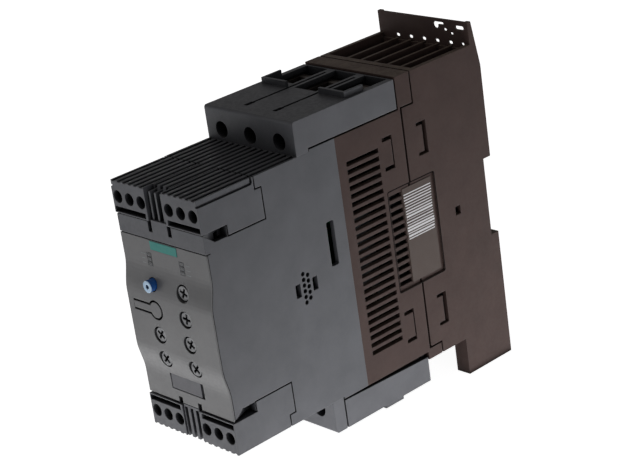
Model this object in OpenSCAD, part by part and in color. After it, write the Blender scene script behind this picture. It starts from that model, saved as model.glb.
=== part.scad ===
// Motor soft starter for a 35 mm rail or a mounting panel.
// A ribbed grey control front, a vented brown middle frame that carries the power terminals,
// and a brown rear housing round the heat sink.
// Frame: +X to the right seen from the front, -Y to the front, +Z up. The origin lies on the
// back plane at the middle of the rail notch. Depths are measured forward from the back plane.

/* [Overall] */
// Width of the housing
body_w = 55; // [52:0.5:60]
// Height of the control front
control_h = 112; // [108:0.5:118]
// Height of the power terminal covers above the control front
cover_h = 14.7; // [13:0.1:18]
// Depth of the flat part of the front panel
front_d = 165.7; // [160:0.1:172]
// Thickness of the side walls
wall = 2.2; // [1.8:0.1:2.6]
// Open seam between neighbouring mouldings
seam_gap = 0.8; // [0.5:0.05:0.9]
// Clearance between pieces that slide, turn or plug into each other
run_gap = 0.3; // [0.2:0.05:0.4]

/* [Rear housing] */
// Depth of the seam between rear housing and middle housing
seam_d = 51.2; // [46:0.1:53]
// Length of the middle housing's upper and lower tongues behind that seam
tongue_l = 6.9; // [6.2:0.1:9.2]
// Open seam between rear housing and middle housing
split_gap = 1.1; // [0.6:0.05:1.3]
// Height of the fixing tab above the rear housing
tab_h = 10.1; // [8:0.1:14]
// Thickness of the fixing tab
tab_t = 0.9; // [0.8:0.1:1.8]
// Height at which the back edge starts to lean forward
lean_z = 60.9; // [40:0.1:66]
// How far the back edge leans forward at the tab's top
lean_d = 3.4; // [0:0.1:4]
// Distance of the rear housing's underside below the lower deck
rear_low = 3.8; // [2.6:0.1:7]
// Width of a foot
foot_w = 7.6; // [6:0.1:9]
// Depth of a foot
foot_d = 28.6; // [20:0.1:36]
// Distance of the soles of the feet below the lower fixing hole
foot_edge = 7; // [4:0.1:12]
// Thickness of the back plate
plate_t = 1.6; // [1.2:0.1:2.2]
// Pitch of the ribs in the top and bottom grille
grille_pitch = 8.2; // [7.4:0.1:9]
// Number of grille ribs
grille_count = 5; // [3:2:5]
// Thickness of a grille rib
grille_rib = 1.5; // [1:0.1:2.5]
// Depth of the beam in front of the grille
beam_t = 3.2; // [2:0.1:5]
// Radius of the openings at the foot of the tab
sight_r = 0.8; // [0.6:0.05:1]
// Radius of the fixing holes
fixing_r = 1.6; // [1.5:0.05:2.2]
// Distance of the fixing holes from the middle
fixing_x = 8.3; // [6:0.1:9]
// Vertical distance between the two fixing holes
fixing_span = 150; // [146:0.5:152]
// Distance of the upper fixing hole below the tab's top edge
fixing_drop = 3; // [2.6:0.1:4]

/* [Rail mounting] */
// Height of the rail notch
notch_h = 36.4; // [35.6:0.1:38]
// Depth of the rail notch
notch_d = 4.6; // [4.2:0.1:6]
// How far a hook reaches behind the rail's edge
hook_reach = 1.7; // [1.2:0.1:2]
// Half width of the fixed hook
hook_x = 14; // [6:0.5:18]
// Half width of the sprung slider
slider_x = 9; // [7:0.1:11]
// Length of the slider below the notch
slider_h = 47; // [44:0.5:52]
// Travel of the slider when the rail is released
slider_travel = 3; // [2.2:0.1:3.5]

/* [Middle housing] */
// Depth of the joint between middle housing and front housing
joint_d = 91; // [89:0.1:96]
// Height of the decks under the power covers above the control front
deck_rise = 0.9; // [0.5:0.1:2]
// Height of the lower tongue's upper edge above the lower deck
step_rise = 1.5; // [0.9:0.1:2.9]
// Pitch of the side vents
vent_pitch = 3.64; // [3.2:0.02:3.64]
// Number of long vents in a column
vent_count = 25; // [9:2:25]
// Height of one vent
vent_h = 2.1; // [1.4:0.1:2.4]
// Distance of the long vents from the label recess
vent_gap = 2.4; // [1.2:0.1:5.2]
// Distance of the long vents from the front joint
vent_edge = 5; // [4:0.1:12]
// Number of short vents in the label recess
short_count = 12; // [4:1:12]
// Length of a short vent
short_l = 7.4; // [4:0.1:7.4]
// Depth of the label recess's rear edge
recess_d = 36.6; // [36:0.1:38]
// Length of the label recess
recess_l = 28.2; // [24:0.1:28.6]
// Height of the label recess
recess_h = 46.6; // [42:0.1:50]
// How deep the label recess is cut into the side walls
recess_t = 0.8; // [0.4:0.1:1]

/* [Power terminals] */
// Depth of the power covers' front faces
cover_d = 112.2; // [110:0.1:116]
// Thickness of the middle housing's lip behind the power covers
lip_t = 1.05; // [0.8:0.05:1.8]
// Thickness of the power covers' side walls
cover_side = 2.1; // [1.9:0.1:2.7]
// Height of the screw axes above the control front
screw_rise = 5; // [4.6:0.1:6]
// Radius of the screw access bores
access_r = 3.7; // [3:0.05:3.9]
// Height of the raised collar round the outer cable wells
collar_h = 2.6; // [0.8:0.1:3]
// Half width of a box clamp
clamp_x = 7.1; // [6.4:0.1:7.2]
// Half width of the cable opening in a box clamp
throat_x = 5.4; // [4.4:0.1:5.6]
// Room beside a busbar in its box clamp
bar_side = 0.4; // [0.3:0.05:1.4]
// Thickness of a busbar
bar_t = 2; // [1.5:0.1:2.2]

/* [Control front] */
// Distance of the outermost groove's middle from the side
rib_edge = 2.09; // [1.6:0.01:3.6]
// Width of the grooves between the ribs
groove_w = 1.9; // [1.2:0.1:2.2]
// Depth of the grooves between the ribs
groove_t = 1.6; // [0.8:0.1:2]
// Thickness of the ribbed top and bottom walls
roof_t = 3.2; // [3:0.1:4]
// Half width of the middle section between the control terminals
mid_x = 5.1; // [4.4:0.1:5.4]
// Height of a control terminal's front face
sill_h = 14.7; // [13:0.1:15]
// Height of a control terminal's heel below its front edge
heel_h = 4.5; // [2.8:0.1:4.9]
// Length of a control terminal behind the front face
plug_l = 32.7; // [29.7:0.1:34.7]
// Distance of the first screw from the middle section
way_in = 3.8; // [3.5:0.05:4]
// Distance of the last screw from the side
way_edge = 3.6; // [3.5:0.05:5]
// Distance of the control screw holes below the ribbed top
way_drop = 7; // [6.6:0.1:8]
// Radius of the control screw holes
way_r = 2.8; // [2.2:0.05:2.9]

/* [Operator panel] */
// Thickness of the panel
panel_t = 2.4; // [2:0.1:3]
// How far the middle of the panel swells forward
bulge = 2.15; // [0:0.05:3]
// Height at which the swell starts at the top
bulge_top = 21.6; // [20.5:0.1:22.5]
// Distance below the rail centre at which the swell ends
bulge_low = 30.4; // [29:0.1:32]
// Height of each of the two curved stretches
bulge_run = 14; // [11:0.5:14]
// Height of the strip between the panel and the upper control terminals
strip_h = 8.6; // [7.3:0.1:8.8]
// Distance of the two dial columns from the middle
column_x = 9.6; // [9:0.1:10.2]
// Height of the top dial row
row_top = 13.1; // [12:0.1:13.5]
// Distance of the lowest dial row below the rail centre
row_low = 20.8; // [19:0.1:22]
// Radius of a setting dial
dial_r = 3.15; // [2.4:0.05:3.2]
// Width of the dark ring round a dial
dial_ring = 0.7; // [0.4:0.05:0.9]
// Radius of the reset button
button_r = 2.65; // [2:0.05:2.8]
// How far the reset button stands out of the panel's flat
button_out = 4.3; // [3.4:0.1:6]
// Travel of the reset button
button_travel = 2; // [1:0.1:2.2]
// Radius of the mode tongue's round pad
pad_r = 3.5; // [3:0.05:3.8]
// Half width of the mode tongue's stem
stem_z = 1.55; // [1:0.05:2]
// Width of the slit round the mode tongue
slit_w = 0.95; // [0.5:0.05:1]

/* [Hidden] */
$fn = 48;

// How far a cutter reaches past the face that it cuts.
over = 1;
hair = 0.1;
half_w = body_w / 2;
inner_x = half_w - wall;
half_seam = seam_gap / 2;
half_split = split_gap / 2;

// Heights that the mouldings share.
control_top = control_h / 2;
power_top = control_top + cover_h;
rear_top = power_top + seam_gap;
tab_top = rear_top + tab_h;
deck_z = control_top + deck_rise;
low_step = deck_z - step_rise;
rear_drop = deck_z + rear_low;
fixing_top = tab_top - fixing_drop;
fixing_low = fixing_top - fixing_span;
foot_drop = foot_edge - fixing_low;

// Depths that the mouldings share.
tongue_d = seam_d - tongue_l;
cover_rear = seam_d + half_split + lip_t + seam_gap;
plate_front = notch_d + plate_t;

// Fine shapes of the rear housing.
deck_t = 2.2;
grille_h = 11.5;
grille_z = rear_top - grille_h;
grille_drop = 1.4;
grille_low = 4.6;
grille_edge = 5;
sight_pitch = 8.1;
sight_count = 5;
sight_l = 1;
sight_drop = 0.2;
sight_z = rear_top - sight_drop;
last_sight_edge = 3.8;
last_sight_x = half_w - last_sight_edge;
last_sight_r = 0.7;
last_sight_l = 0.6;
tab_in = 2;
tab_front = lean_d + tab_in;
tab_root = 5.5;
tab_low = rear_top - tab_root;
plate_drop = 2;
plate_top = rear_top - plate_drop;
keyhole_l = 4.2;
keyhole_r = 0.6;
keyhole_drop = 2.05;
tie_slot_edge = 3.5;
tie_slot_l = 3.3;
tie_slot_r = 0.9;
tie_slot_drop = 3;
tab_hole_l = 0.8;
// Small openings in the tab: distance from the middle, distance below the top edge, radius.
tab_holes = [[13.7, 4.7, 0.65], [17.4, 6.1, 0.6]];
hook_t = 1.5;
hook_gap = 1.5;
hook_rib = 2;
guide_t = 2;
guide_lip = 0.8;
guide_lap = 1;
slider_t = 3.2;
eye_h = 3;
eye_x = 3;
eye_rise = 2.5;
peg_h = 1.5;
peg_x = 1.5;
coil_sides = 8;
coil_steps = 14;
rail_coil_r = 1;
rail_wire_r = 0.25;
rail_turns = 9;
rail_spring_solid = 11.5;
spring_slot_x = 2.4;
spring_slot_low = 46;
spring_slot_top = spring_slot_low - peg_h - slider_travel - rail_spring_solid;

// Latch tongues cut into the side walls.
latch_in = 16.5;
latch_z = deck_z - latch_in;
latch_h = 15;
latch_w = 5.9;
rear_latch_in = 10.5;
rear_latch_d = seam_d - rear_latch_in;
rear_latch_slot = 2.4;
rear_latch_end = 1.5;
mid_latch_in = 10.3;
mid_latch_d = seam_d + mid_latch_in;
mid_latch_slot = 0.7;
mid_latch_end = 1.8;
square_d = 24.1;
square_z = 0.7;
square_l = 3.3;
square_h = 4.1;

// Vents, and the data label in the right recess.
vent_d = recess_d + recess_l + vent_gap;
vent_l = joint_d - vent_edge - vent_d;
short_edge = 0.9;
label_t = 0.3;
label_edge = 1.5;
label_gap = 0.4;
label_l = recess_l - short_edge - short_l - label_gap - label_edge;

// Power covers, clamps and screws.
cover_foot = 6.6;
cover_round = 1.2;
round_step = 15;
cover_skin = 2.2;
cover_back = 2;
chamber_x = clamp_x + run_gap;
pole_pitch = half_w - cover_side - chamber_x;
poles = [-pole_pitch, 0, pole_pitch];
screw_z = control_top + screw_rise;
chamber_in = 16.2;
chamber_front = cover_d - chamber_in;
chamber_rear = cover_rear + cover_back;
clamp_gap = 1.6;
clamp_l = 18.8;
clamp_rear = chamber_rear + clamp_gap;
clamp_front = clamp_rear + clamp_l;
clamp_face = 3.4;
clamp_back = 1.4;
clamp_drop = 0.9;
well_x = 6.6;
well_in = 0.6;
well_back = 0.8;
well_front = clamp_front - well_in;
well_rear = cover_rear + well_back;
mid_well_l = 3.6;
cover_low = deck_z + seam_gap;
seam_wedge_h = 1.6;
seam_wedge_t = 2.5;
barrier_w = 1.5;
barrier_in = 7.2;
barrier_back = 4.4;
barrier_front = cover_d - barrier_in;
barrier_rear = cover_rear + barrier_back;
barrier_deep = 6;
barrier_end_w = 2.4;
barrier_end_l = 4.6;
collar_ahead = 5.1;
collar_l = 11;
collar_front = well_front + collar_ahead;
collar_rear = collar_front - collar_l;
collar_t = 1.3;
collar_in = 1.9;
power_head_gap = 0.4;
power_head_r = access_r - power_head_gap;
power_head_in = 11.2;
power_head_front = cover_d - power_head_in;
power_head_t = 4;
power_shank_r = 2.5;
power_reach = 5.6;
power_tip = clamp_front - power_reach;
power_slot_w = 1.2;
power_slot_t = 1.6;
bar_w = 2 * (throat_x - bar_side);
bar_seat = 0.2;
bar_rear = clamp_rear + clamp_back + bar_seat;
bar_clear = 0.3;

// Heat sink and power electronics.
sink_in = 1.2;
sink_front = seam_d - sink_in;
sink_base = 4.8;
sink_back = 2.3;
sink_rear = plate_front + sink_back;
sink_fin = 1.6;
sink_fins = 9;
sink_edge = 3.7;
sink_pitch = 2 * (inner_x - sink_edge) / (sink_fins - 1);
sink_drop = 2.7;
sink_z = deck_z - deck_t - sink_drop;
module_t = 16;
module_front = sink_front + module_t;
module_x0 = 9.5;
module_side = 0.9;
module_x1 = inner_x - module_side;
module_z = 20;
board_t = 1.6;
board_in = 2;
board_edge = 0.8;
power_board_d = joint_d - board_in;
power_board_z = control_top - roof_t - board_edge;
relay_gap = 3;
relay_rear = module_front + relay_gap;
relay_x = 20;
relay_z = 18;
transformer_x = 6.6;
transformer_in = 4.8;
transformer_t = 12;
transformer_rear = bar_rear - transformer_in;
transformer_front = transformer_rear + transformer_t;
transformer_low = 28;
transformer_h = 12;
transformer_top = transformer_low + transformer_h;

// Control terminals.
plug_out = 0.5;
plug_front = front_d + plug_out;
plug_d = front_d - plug_l;
plug_lip_l = 3.3;
plug_lip_d = plug_d + plug_lip_l;
plug_lip_drop = 5.4;
plug_lip_z = control_top - plug_lip_drop;
plug_step_in = 12.5;
plug_step = front_d - plug_step_in;
sill_z = control_top - sill_h;
heel_z = sill_z - heel_h;
plug_gap = 0.3;
plug_edge = 0.9;
plug_notch = 0.5;
way_count = 3;
way_x = mid_x + way_in;
way_pitch = (half_w - way_edge - way_x) / (way_count - 1);
way_z = control_top - way_drop;
way_hole_l = 9.2;
way_deep = plug_front - way_hole_l;
chamber_l = 9;
chamber_d = way_deep - chamber_l;
wire_slot_rise = 0.8;
wire_slot_low = sill_z + wire_slot_rise;
wire_slot_h = 2.4;
wire_slot_in = 1.3;
wire_slot_out = 0.4;
cage_x = 2.9;
cage_rise = 0.8;
cage_drop = 3.3;
cage_low = wire_slot_low + cage_rise;
cage_top = control_top - cage_drop;
cage_wall = 0.7;
cage_gap = 0.2;
rim_groove_z = 2.1;
rim_groove_w = 0.9;
rim_groove_t = 1.1;
rim_groove_back = 1.7;
rim_groove_d = plug_lip_d + rim_groove_back;
rim_in = 0.45;
way_head_gap = 0.4;
way_head_r = way_r - way_head_gap;
way_head_in = 5.6;
way_head_d = plug_front - way_head_in;
way_head_t = 2.4;
way_shank_r = 1.5;
way_reach = 6;
way_tip = way_deep - way_reach;
way_slot_w = 0.8;
way_slot_t = 1;

// Front housing.
rim_d = front_d - panel_t;
panel_top = sill_z - strip_h;
strip_step = 0.45;
cavity_in = 7.7;
cavity_front = front_d - cavity_in;
rib_count = 15;
rib_pitch = 2 * (half_w - rib_edge) / (rib_count - 1);
front_groove_t = 4.5;
front_groove_w = 2.6;
front_groove_z = 0.8;
fin_in = 0.7;
fin_gaps = 4;
low_fin_gaps = 3;
release_in = 1.1;
release_x = mid_x + release_in;
release_w = 2.4;
release_h = 4.7;
release_t = 6;
notch_x = 4.2;
notch_flat = 2;
notch_l = 12.1;
notch_foot_l = 5.5;
notch_toe_l = 2.7;
notch_rear = front_d - notch_l;
notch_foot = front_d - notch_foot_l;
notch_toe = front_d - notch_toe_l;
notch_rise = 2.3;
side_slot_in = 8.7;
side_slot_d = joint_d + side_slot_in;
side_slot_w = 4.2;
side_slot_z = 13.4;
side_slot_h = 20;
side_slot_r = 0.9;
sound_r = 1;
sound_pitch = 2.58;
sound_in = 18.5;
sound_d = side_slot_d + sound_in;
sound_col = 2.5;
sound_z = 0.15;
sound_rows = [6, 5];
sound_bar_w = 2.8;
sound_bar_h = 5.9;
sound_bar_x = 4.8;
ledge_x = 2.2;
ledge_t = 2.5;

// Control board and what stands on it.
control_board_in = 18.1;
control_board_d = front_d - control_board_in;
control_board_edge = 3.8;
control_board_z = heel_z - control_board_edge;
ledge_in = 1;
ledge_z = control_board_z - ledge_in;
interface_edge = 5;
interface_z = control_board_z - interface_edge;
supply_gap = 18;
supply_back = 15;
supply_front = control_board_d - board_t - supply_gap;
supply_rear = power_board_d + supply_back;
supply_x = 16;
supply_z = 11;
trimmer_half = 3.7;
trimmer_t = 5.4;
trimmer_front = control_board_d + trimmer_t;
switch_half = 3;
reset_switch_t = 3.9;
reset_switch_front = control_board_d + reset_switch_t;
mode_switch_t = 14.4;
mode_switch_front = control_board_d + mode_switch_t;

// Operator panel.
panel_low = -sill_z + 2 * plug_gap;
panel_edge = 0.6;
bulge_steps = 8;
plate_x = 8.6;
name_drop = 0.3;
name_h = 4;
plate_z1 = panel_top - name_drop;
plate_z0 = plate_z1 - name_h;
plate_in = 0.35;
plate_thick = 0.5;
insert_x = 10.7;
insert_rise = 5.6;
insert_h = 7.2;
insert_z0 = panel_low + insert_rise;
insert_z1 = insert_z0 + insert_h;
insert_deep = 0.9;
insert_edge = 0.2;
insert_pull = 1.9;
insert_t = 0.7;
guide_x = 10.4;
guide_drop = 9.1;
guide_z = panel_top - guide_drop;
guide_pitch = 2.1;
guide_count = 3;
guide_half = 1.2;
guide_thin = 0.45;
guide_l = 9.7;
guide_end = front_d - guide_l;
guide_bridge = 1.5;
window_gap = 0.1;
low_release_h = 3.2;
row_count = 4;
button_row = 0;
tongue_row = 1;
row_pitch = (row_top + row_low) / (row_count - 1);
dial_sink = 0.6;
dial_t = 3;
dial_cross_w = 1.2;
dial_cross_t = 2;
dial_cross_l = 4.7;
dial_stem_r = 1.5;
dial_stem_gap = 1.4;
dial_stem_end = control_board_d + dial_stem_gap;
dial_turn = [22, 8, 30, 40, 33, 44];
// Column and row of each setting dial.
dial_spots = [[1, 0], [1, 1], [1, 2], [1, 3], [-1, 2], [-1, 3]];
button_front = front_d + button_out;
button_ring = 0.35;
button_hole_r = 1;
button_hole_t = 2.4;
button_flange = 0.85;
button_collar_r = button_r + button_flange;
button_collar_front = rim_d - hair;
button_collar_t = 1.1;
button_stem_r = 1.4;
button_rest = 1.1;
button_stem_end = reset_switch_front + button_travel + button_rest;
reset_coil_r = 2;
reset_wire_r = 0.25;
reset_turns = 6;
root_in = 1.5;
root_x = -inner_x + root_in;
root_gap = 0.2;
tongue_t = 1.6;
tongue_boss_r = 1.2;
tongue_boss_l = 2.6;

// Depth of the panel's outer face at a height: flat, swelling forward between two smooth curves.
function smooth(t) = let (u = min(1, max(0, t))) u * u * (3 - 2 * u);
function swell(z) = smooth((bulge_top - z) / bulge_run) * smooth((z + bulge_low) / bulge_run);
function panel_d(z) = front_d + bulge * swell(z);
function curve_heights(from) = [for (i = [0:bulge_steps]) from + bulge_run * i / bulge_steps];
function panel_heights() = concat(curve_heights(-bulge_low), curve_heights(bulge_top - bulge_run));
function row_z(row) = row_top - row * row_pitch;
function dial_at(i) = [dial_spots[i][0] * column_x, row_z(dial_spots[i][1])];
function centred(count, pitch) = [for (i = [0:count - 1]) (i - (count - 1) / 2) * pitch];

// A block given by its lowest and highest corners.
module block(low, high) {
    translate(low) cube(high - low);
}

// A block that is symmetrical about the middle plane, from front depth to rear depth.
module slab(x, front, rear, low, high) {
    block([-x, -front, low], [x, -rear, high]);
}

// Carries an outline of depth and height along X.
module along_x(from, to) {
    translate([from, 0, 0]) rotate([90, 0, 90]) linear_extrude(to - from) children();
}

// Carries an outline of X and height from a front depth to a rear depth.
module along_y(front, rear) {
    translate([0, -rear, 0]) rotate([90, 0, 0]) linear_extrude(front - rear) children();
}

// A round bar along Y.
module rod(at, r, front, rear) {
    translate([at[0], -front, at[1]]) rotate([-90, 0, 0]) cylinder(h = front - rear, r = r);
}

module both_sides() {
    children();
    mirror([1, 0, 0]) children();
}

module both_ends() {
    children();
    mirror([0, 0, 1]) children();
}

module all_corners() {
    both_sides() both_ends() children();
}

// A helical spring along +Z with its ends on the planes 0 and length.
module coil(r, wire, turns, length) {
    sides = coil_sides;
    steps = coil_steps * turns;
    rise = (length - 2 * wire) / steps;
    points = [
        for (i = [0:steps])
            let (a = 360 * i * turns / steps)
                for (j = [0:sides - 1])
                    let (b = 360 * j / sides, s = r + wire * cos(b))
                        [s * cos(a), s * sin(a), wire + rise * i + wire * sin(b)]
    ];
    walls = [
        for (i = [0:steps - 1])
            for (j = [0:sides - 1])
                let (a = i * sides + j, b = i * sides + (j + 1) % sides)
                    each [[a, a + sides, b], [b, a + sides, b + sides]]
    ];
    start = [for (j = [0:sides - 1]) j];
    end = [for (j = [sides - 1:-1:0]) steps * sides + j];
    polyhedron(points, concat([start, end], walls));
}

// Slit that leaves a tongue hanging on its front edge.
module latch_slit(depth, slot, end) {
    both_ends() along_x(-half_w - over, half_w + over) difference() {
        translate([-depth - latch_w / 2, latch_z - latch_h / 2]) square([latch_w, latch_h]);
        translate([-depth - latch_w / 2 - over, latch_z - latch_h / 2 + end])
            square([latch_w + over - slot, latch_h - 2 * end]);
    }
}

// Shallow field in both side walls for a label.
module label_recess() {
    both_sides() block(
        [half_w - recess_t, -recess_d - recess_l, -recess_h / 2],
        [half_w + over, -recess_d, recess_h / 2]
    );
}

module rear_outline() {
    front = -seam_d + half_split;
    step = -tongue_d + seam_gap;
    polygon([
        [front, -low_step + half_seam], [step, -low_step + half_seam], [step, -rear_drop],
        [0, -rear_drop], [0, -notch_h / 2], [-notch_d, -notch_h / 2],
        [-notch_d, notch_h / 2], [0, notch_h / 2], [0, lean_z],
        [-lean_d, tab_top], [-tab_front, tab_top], [-tab_front, rear_top],
        [step, rear_top], [step, deck_z], [front, deck_z]
    ]);
}

// Ribs that run front to back under the top edge and above the underside.
module grille() {
    front = tongue_d - seam_gap - half_seam;
    for (x = centred(grille_count, grille_pitch)) translate([x, 0, 0]) {
        slab(grille_rib / 2, front, notch_d, grille_z, rear_top - grille_drop);
        slab(grille_rib / 2, front, notch_d, -rear_drop, -rear_drop + grille_low);
    }
}

// Fixed hook above the notch, and the channel in which the sprung slider runs.
module rail_hook_and_channel() {
    half = notch_h / 2;
    channel = slider_x + run_gap;
    hook_front = notch_d - hook_gap;
    slab(inner_x + hair, notch_d + hair, 0, half, half + hook_rib);
    slab(hook_x, hook_front, hook_front - hook_t, half - hook_reach, half + hair);
    difference() {
        slab(inner_x + hair, notch_d + hair, 0, -half - hook_rib, -half);
        slab(channel, notch_d - hair + over, -over, -half - hook_rib - over, -half + over);
    }
    both_sides() {
        block([channel, -notch_d - hair, -rear_drop], [channel + guide_t, 0, -half]);
        block([channel - guide_lap, -guide_lip, -rear_drop], [channel + guide_t, 0, -half - hook_rib]);
    }
    slab(peg_x, notch_d + hair, notch_d - slider_t, -spring_slot_low + run_gap, -spring_slot_low + peg_h);
}

// A slot along X with round ends, from a front depth to a rear depth.
module slot_hole(from, length, z, r, front, rear) {
    block([from, -front, z - r], [from + length, -rear, z + r]);
    for (x = [from, from + length]) rod([x, z], r, front, rear);
}

// Openings of the tab and of the plate between the feet.
module tab_openings() {
    front = plate_front + over;
    rear = -over;
    tie_x = half_w - tie_slot_edge - tie_slot_l;
    for (x = centred(sight_count, sight_pitch))
        slot_hole(x - sight_l / 2, sight_l, sight_z, sight_r, front, rear);
    slot_hole(last_sight_x - last_sight_l, last_sight_l, sight_z, last_sight_r, front, rear);
    for (z = [fixing_top, fixing_low]) rod([fixing_x, z], fixing_r, front, rear);
    slot_hole(fixing_x, keyhole_l, tab_top - keyhole_drop, keyhole_r, front, rear);
    slot_hole(tie_x, tie_slot_l, tab_top - tie_slot_drop, tie_slot_r, front, rear);
    for (hole = tab_holes)
        slot_hole(hole[0] - tab_hole_l / 2, tab_hole_l, tab_top - hole[1], hole[2], front, rear);
}

module rear_housing() {
    low_z = -rear_drop + deck_t;
    step = tongue_d - seam_gap;
    color("#3a2c28") difference() {
        union() {
            both_sides() along_x(inner_x, half_w) rear_outline();
            both_sides() difference() {
                block([half_w - foot_w, -foot_d, -foot_drop], [half_w, 0, -rear_drop + hair]);
                block(
                    [half_w - foot_w + wall, -foot_d + wall, -foot_drop - over],
                    [half_w - wall, -wall, -rear_drop - wall]
                );
            }
            slab(inner_x + hair, plate_front, notch_d, -rear_drop, plate_top);
            slab(inner_x + hair, tab_front, tab_front - tab_t, tab_low, tab_top);
            slab(half_w - foot_w + hair, plate_front, notch_d, -foot_drop, -rear_drop + hair);
            slab(inner_x + hair, step, step - beam_t, deck_z, rear_top);
            difference() {
                slab(inner_x + hair, step, notch_d, -rear_drop, low_z);
                slab(
                    inner_x - grille_edge, step - grille_edge, plate_front + grille_edge,
                    -rear_drop - over, low_z + over
                );
            }
            grille();
            rail_hook_and_channel();
        }
        latch_slit(rear_latch_d, rear_latch_slot, rear_latch_end);
        label_recess();
        block(
            [-half_w - over, -square_d - square_l / 2, square_z - square_h / 2],
            [half_w + over, -square_d + square_l / 2, square_z + square_h / 2]
        );
        tab_openings();
    }
}

module middle_outline() {
    rear = -seam_d - half_split;
    front_wall = -cover_rear + seam_gap;
    polygon([
        [-joint_d, -deck_z], [front_wall, -deck_z], [front_wall, -rear_drop],
        [-tongue_d, -rear_drop], [-tongue_d, -low_step - half_seam], [rear, -low_step - half_seam],
        [rear, deck_z + seam_gap], [-tongue_d, deck_z + seam_gap], [-tongue_d, rear_top],
        [front_wall, rear_top], [front_wall, deck_z], [-joint_d, deck_z]
    ]);
}

// Vent slots through both side walls, from a rear depth forward.
module vents(count, rear, length) {
    for (z = centred(count, vent_pitch)) {
        block(
            [-half_w - over, -rear - length, z - vent_h / 2],
            [half_w + over, -rear, z + vent_h / 2]
        );
    }
}

module middle_housing() {
    rear = seam_d + half_split;
    front_wall = cover_rear - seam_gap;
    short_rear = recess_d + recess_l - short_l - short_edge;
    color("#44332e") difference() {
        union() {
            both_sides() along_x(inner_x, half_w) middle_outline();
            slab(inner_x + hair, joint_d, rear, deck_z - deck_t, deck_z);
            slab(inner_x + hair, joint_d, rear, -deck_z, -deck_z + deck_t);
            slab(inner_x + hair, front_wall, rear, deck_z - deck_t, rear_top);
            slab(inner_x + hair, front_wall, tongue_d, rear_top - deck_t, rear_top);
            slab(inner_x + hair, front_wall, rear, -rear_drop, -deck_z + deck_t);
            slab(inner_x + hair, front_wall, tongue_d, -rear_drop, -rear_drop + deck_t);
        }
        vents(vent_count, vent_d, vent_l);
        vents(short_count, short_rear, short_l);
        latch_slit(mid_latch_d, mid_latch_slot, mid_latch_end);
        label_recess();
        for (x = poles) {
            translate([x, 0, 0]) slab(
                bar_w / 2 + bar_clear, bar_rear + bar_t + bar_clear, bar_rear - bar_clear,
                -deck_z - over, deck_z + over
            );
        }
    }
}

// Outline of the front housing's own block, stepped up where the power covers lie on it.
module front_outline() {
    step = -cover_d + cover_foot + half_seam;
    polygon([
        [-rim_d, -control_top], [step, -control_top], [step, -deck_z], [-joint_d, -deck_z],
        [-joint_d, deck_z], [step, deck_z], [step, control_top], [-rim_d, control_top]
    ]);
}

// Space of one plug-in control terminal, the upper right one, grown on all sides.
module terminal_space(grow) {
    top = control_top + over;
    reach = plug_front + over;
    lip = grow > plug_gap ? plug_d - grow : plug_lip_d - grow;
    along_x(mid_x - grow + plug_gap, half_w + over) polygon([
        [-reach, sill_z - grow], [-plug_step - grow, sill_z - grow], [-plug_step - grow, heel_z - grow],
        [-plug_d + grow, heel_z - grow], [-plug_d + grow, plug_lip_z + grow], [-lip, plug_lip_z + grow],
        [-lip, top], [-reach, top]
    ]);
}

// Grooves that leave the ribs standing on top, from a front depth to a rear depth.
module rib_grooves(front, rear, deep) {
    for (x = centred(rib_count, rib_pitch)) {
        block(
            [x - groove_w / 2, -front, control_top - deep],
            [x + groove_w / 2, -rear, control_top + over]
        );
    }
}

// Ramp under the front edge of a control terminal, deeper to the rear, where a finger lifts it out.
module finger_notch() {
    intersection() {
        along_x(half_w - notch_x, half_w + over) polygon([
            [-front_d - over, sill_z + hair], [-notch_toe, heel_z + notch_rise], [-notch_foot, heel_z],
            [-notch_rear, heel_z], [-notch_rear, sill_z + hair]
        ]);
        linear_extrude(control_top) polygon([
            [half_w, -front_d - over], [half_w - notch_x, -notch_rear - notch_flat],
            [half_w - notch_x, -notch_rear + over], [half_w + over, -notch_rear + over],
            [half_w + over, -front_d - over]
        ]);
    }
}

// Small round holes in two columns with a bar on each side, in front of the sounder.
module sound_holes() {
    for (column = [0:1]) {
        for (z = centred(sound_rows[column], sound_pitch)) {
            translate([-half_w - over, -sound_d + column * sound_col, sound_z + z])
                rotate([0, 90, 0]) cylinder(h = body_w + 2 * over, r = sound_r);
        }
    }
    for (side = [-1, 1]) {
        y = -sound_d + sound_col / 2 + side * sound_bar_x;
        block(
            [-half_w - over, y - sound_bar_w / 2, sound_z - sound_bar_h / 2],
            [half_w + over, y + sound_bar_w / 2, sound_z + sound_bar_h / 2]
        );
    }
}

// Upright slot with round corners through both side walls.
module side_slot() {
    out = side_slot_w / 2 - side_slot_r;
    up = side_slot_h / 2 - side_slot_r;
    along_x(-half_w - over, half_w + over) translate([-side_slot_d, side_slot_z]) {
        square([side_slot_w, 2 * up], center = true);
        square([2 * out, side_slot_h], center = true);
        for (y = [-out, out]) for (z = [-up, up]) translate([y, z]) circle(r = side_slot_r);
    }
}

module front_cavity() {
    slab(inner_x, cavity_front, joint_d - over, -control_top + roof_t, control_top - roof_t);
    slab(inner_x, rim_d + over, cavity_front - over, panel_low + wall, panel_top - wall);
}

// Front face of the middle section: three set-back fins above, three grooves below.
module middle_fins() {
    slab(mid_x, front_d + over, front_d - fin_in, sill_z + front_groove_z, control_top + over);
    for (x = centred(fin_gaps, rib_pitch)) {
        block(
            [x - front_groove_w / 2, -front_d - over, sill_z + front_groove_z],
            [x + front_groove_w / 2, -front_d + front_groove_t, control_top + over]
        );
    }
    for (x = centred(low_fin_gaps, rib_pitch)) {
        block(
            [x - groove_w / 2, -front_d - over, -control_top - over],
            [x + groove_w / 2, -front_d + front_groove_t, -sill_z - front_groove_z]
        );
    }
}

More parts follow.
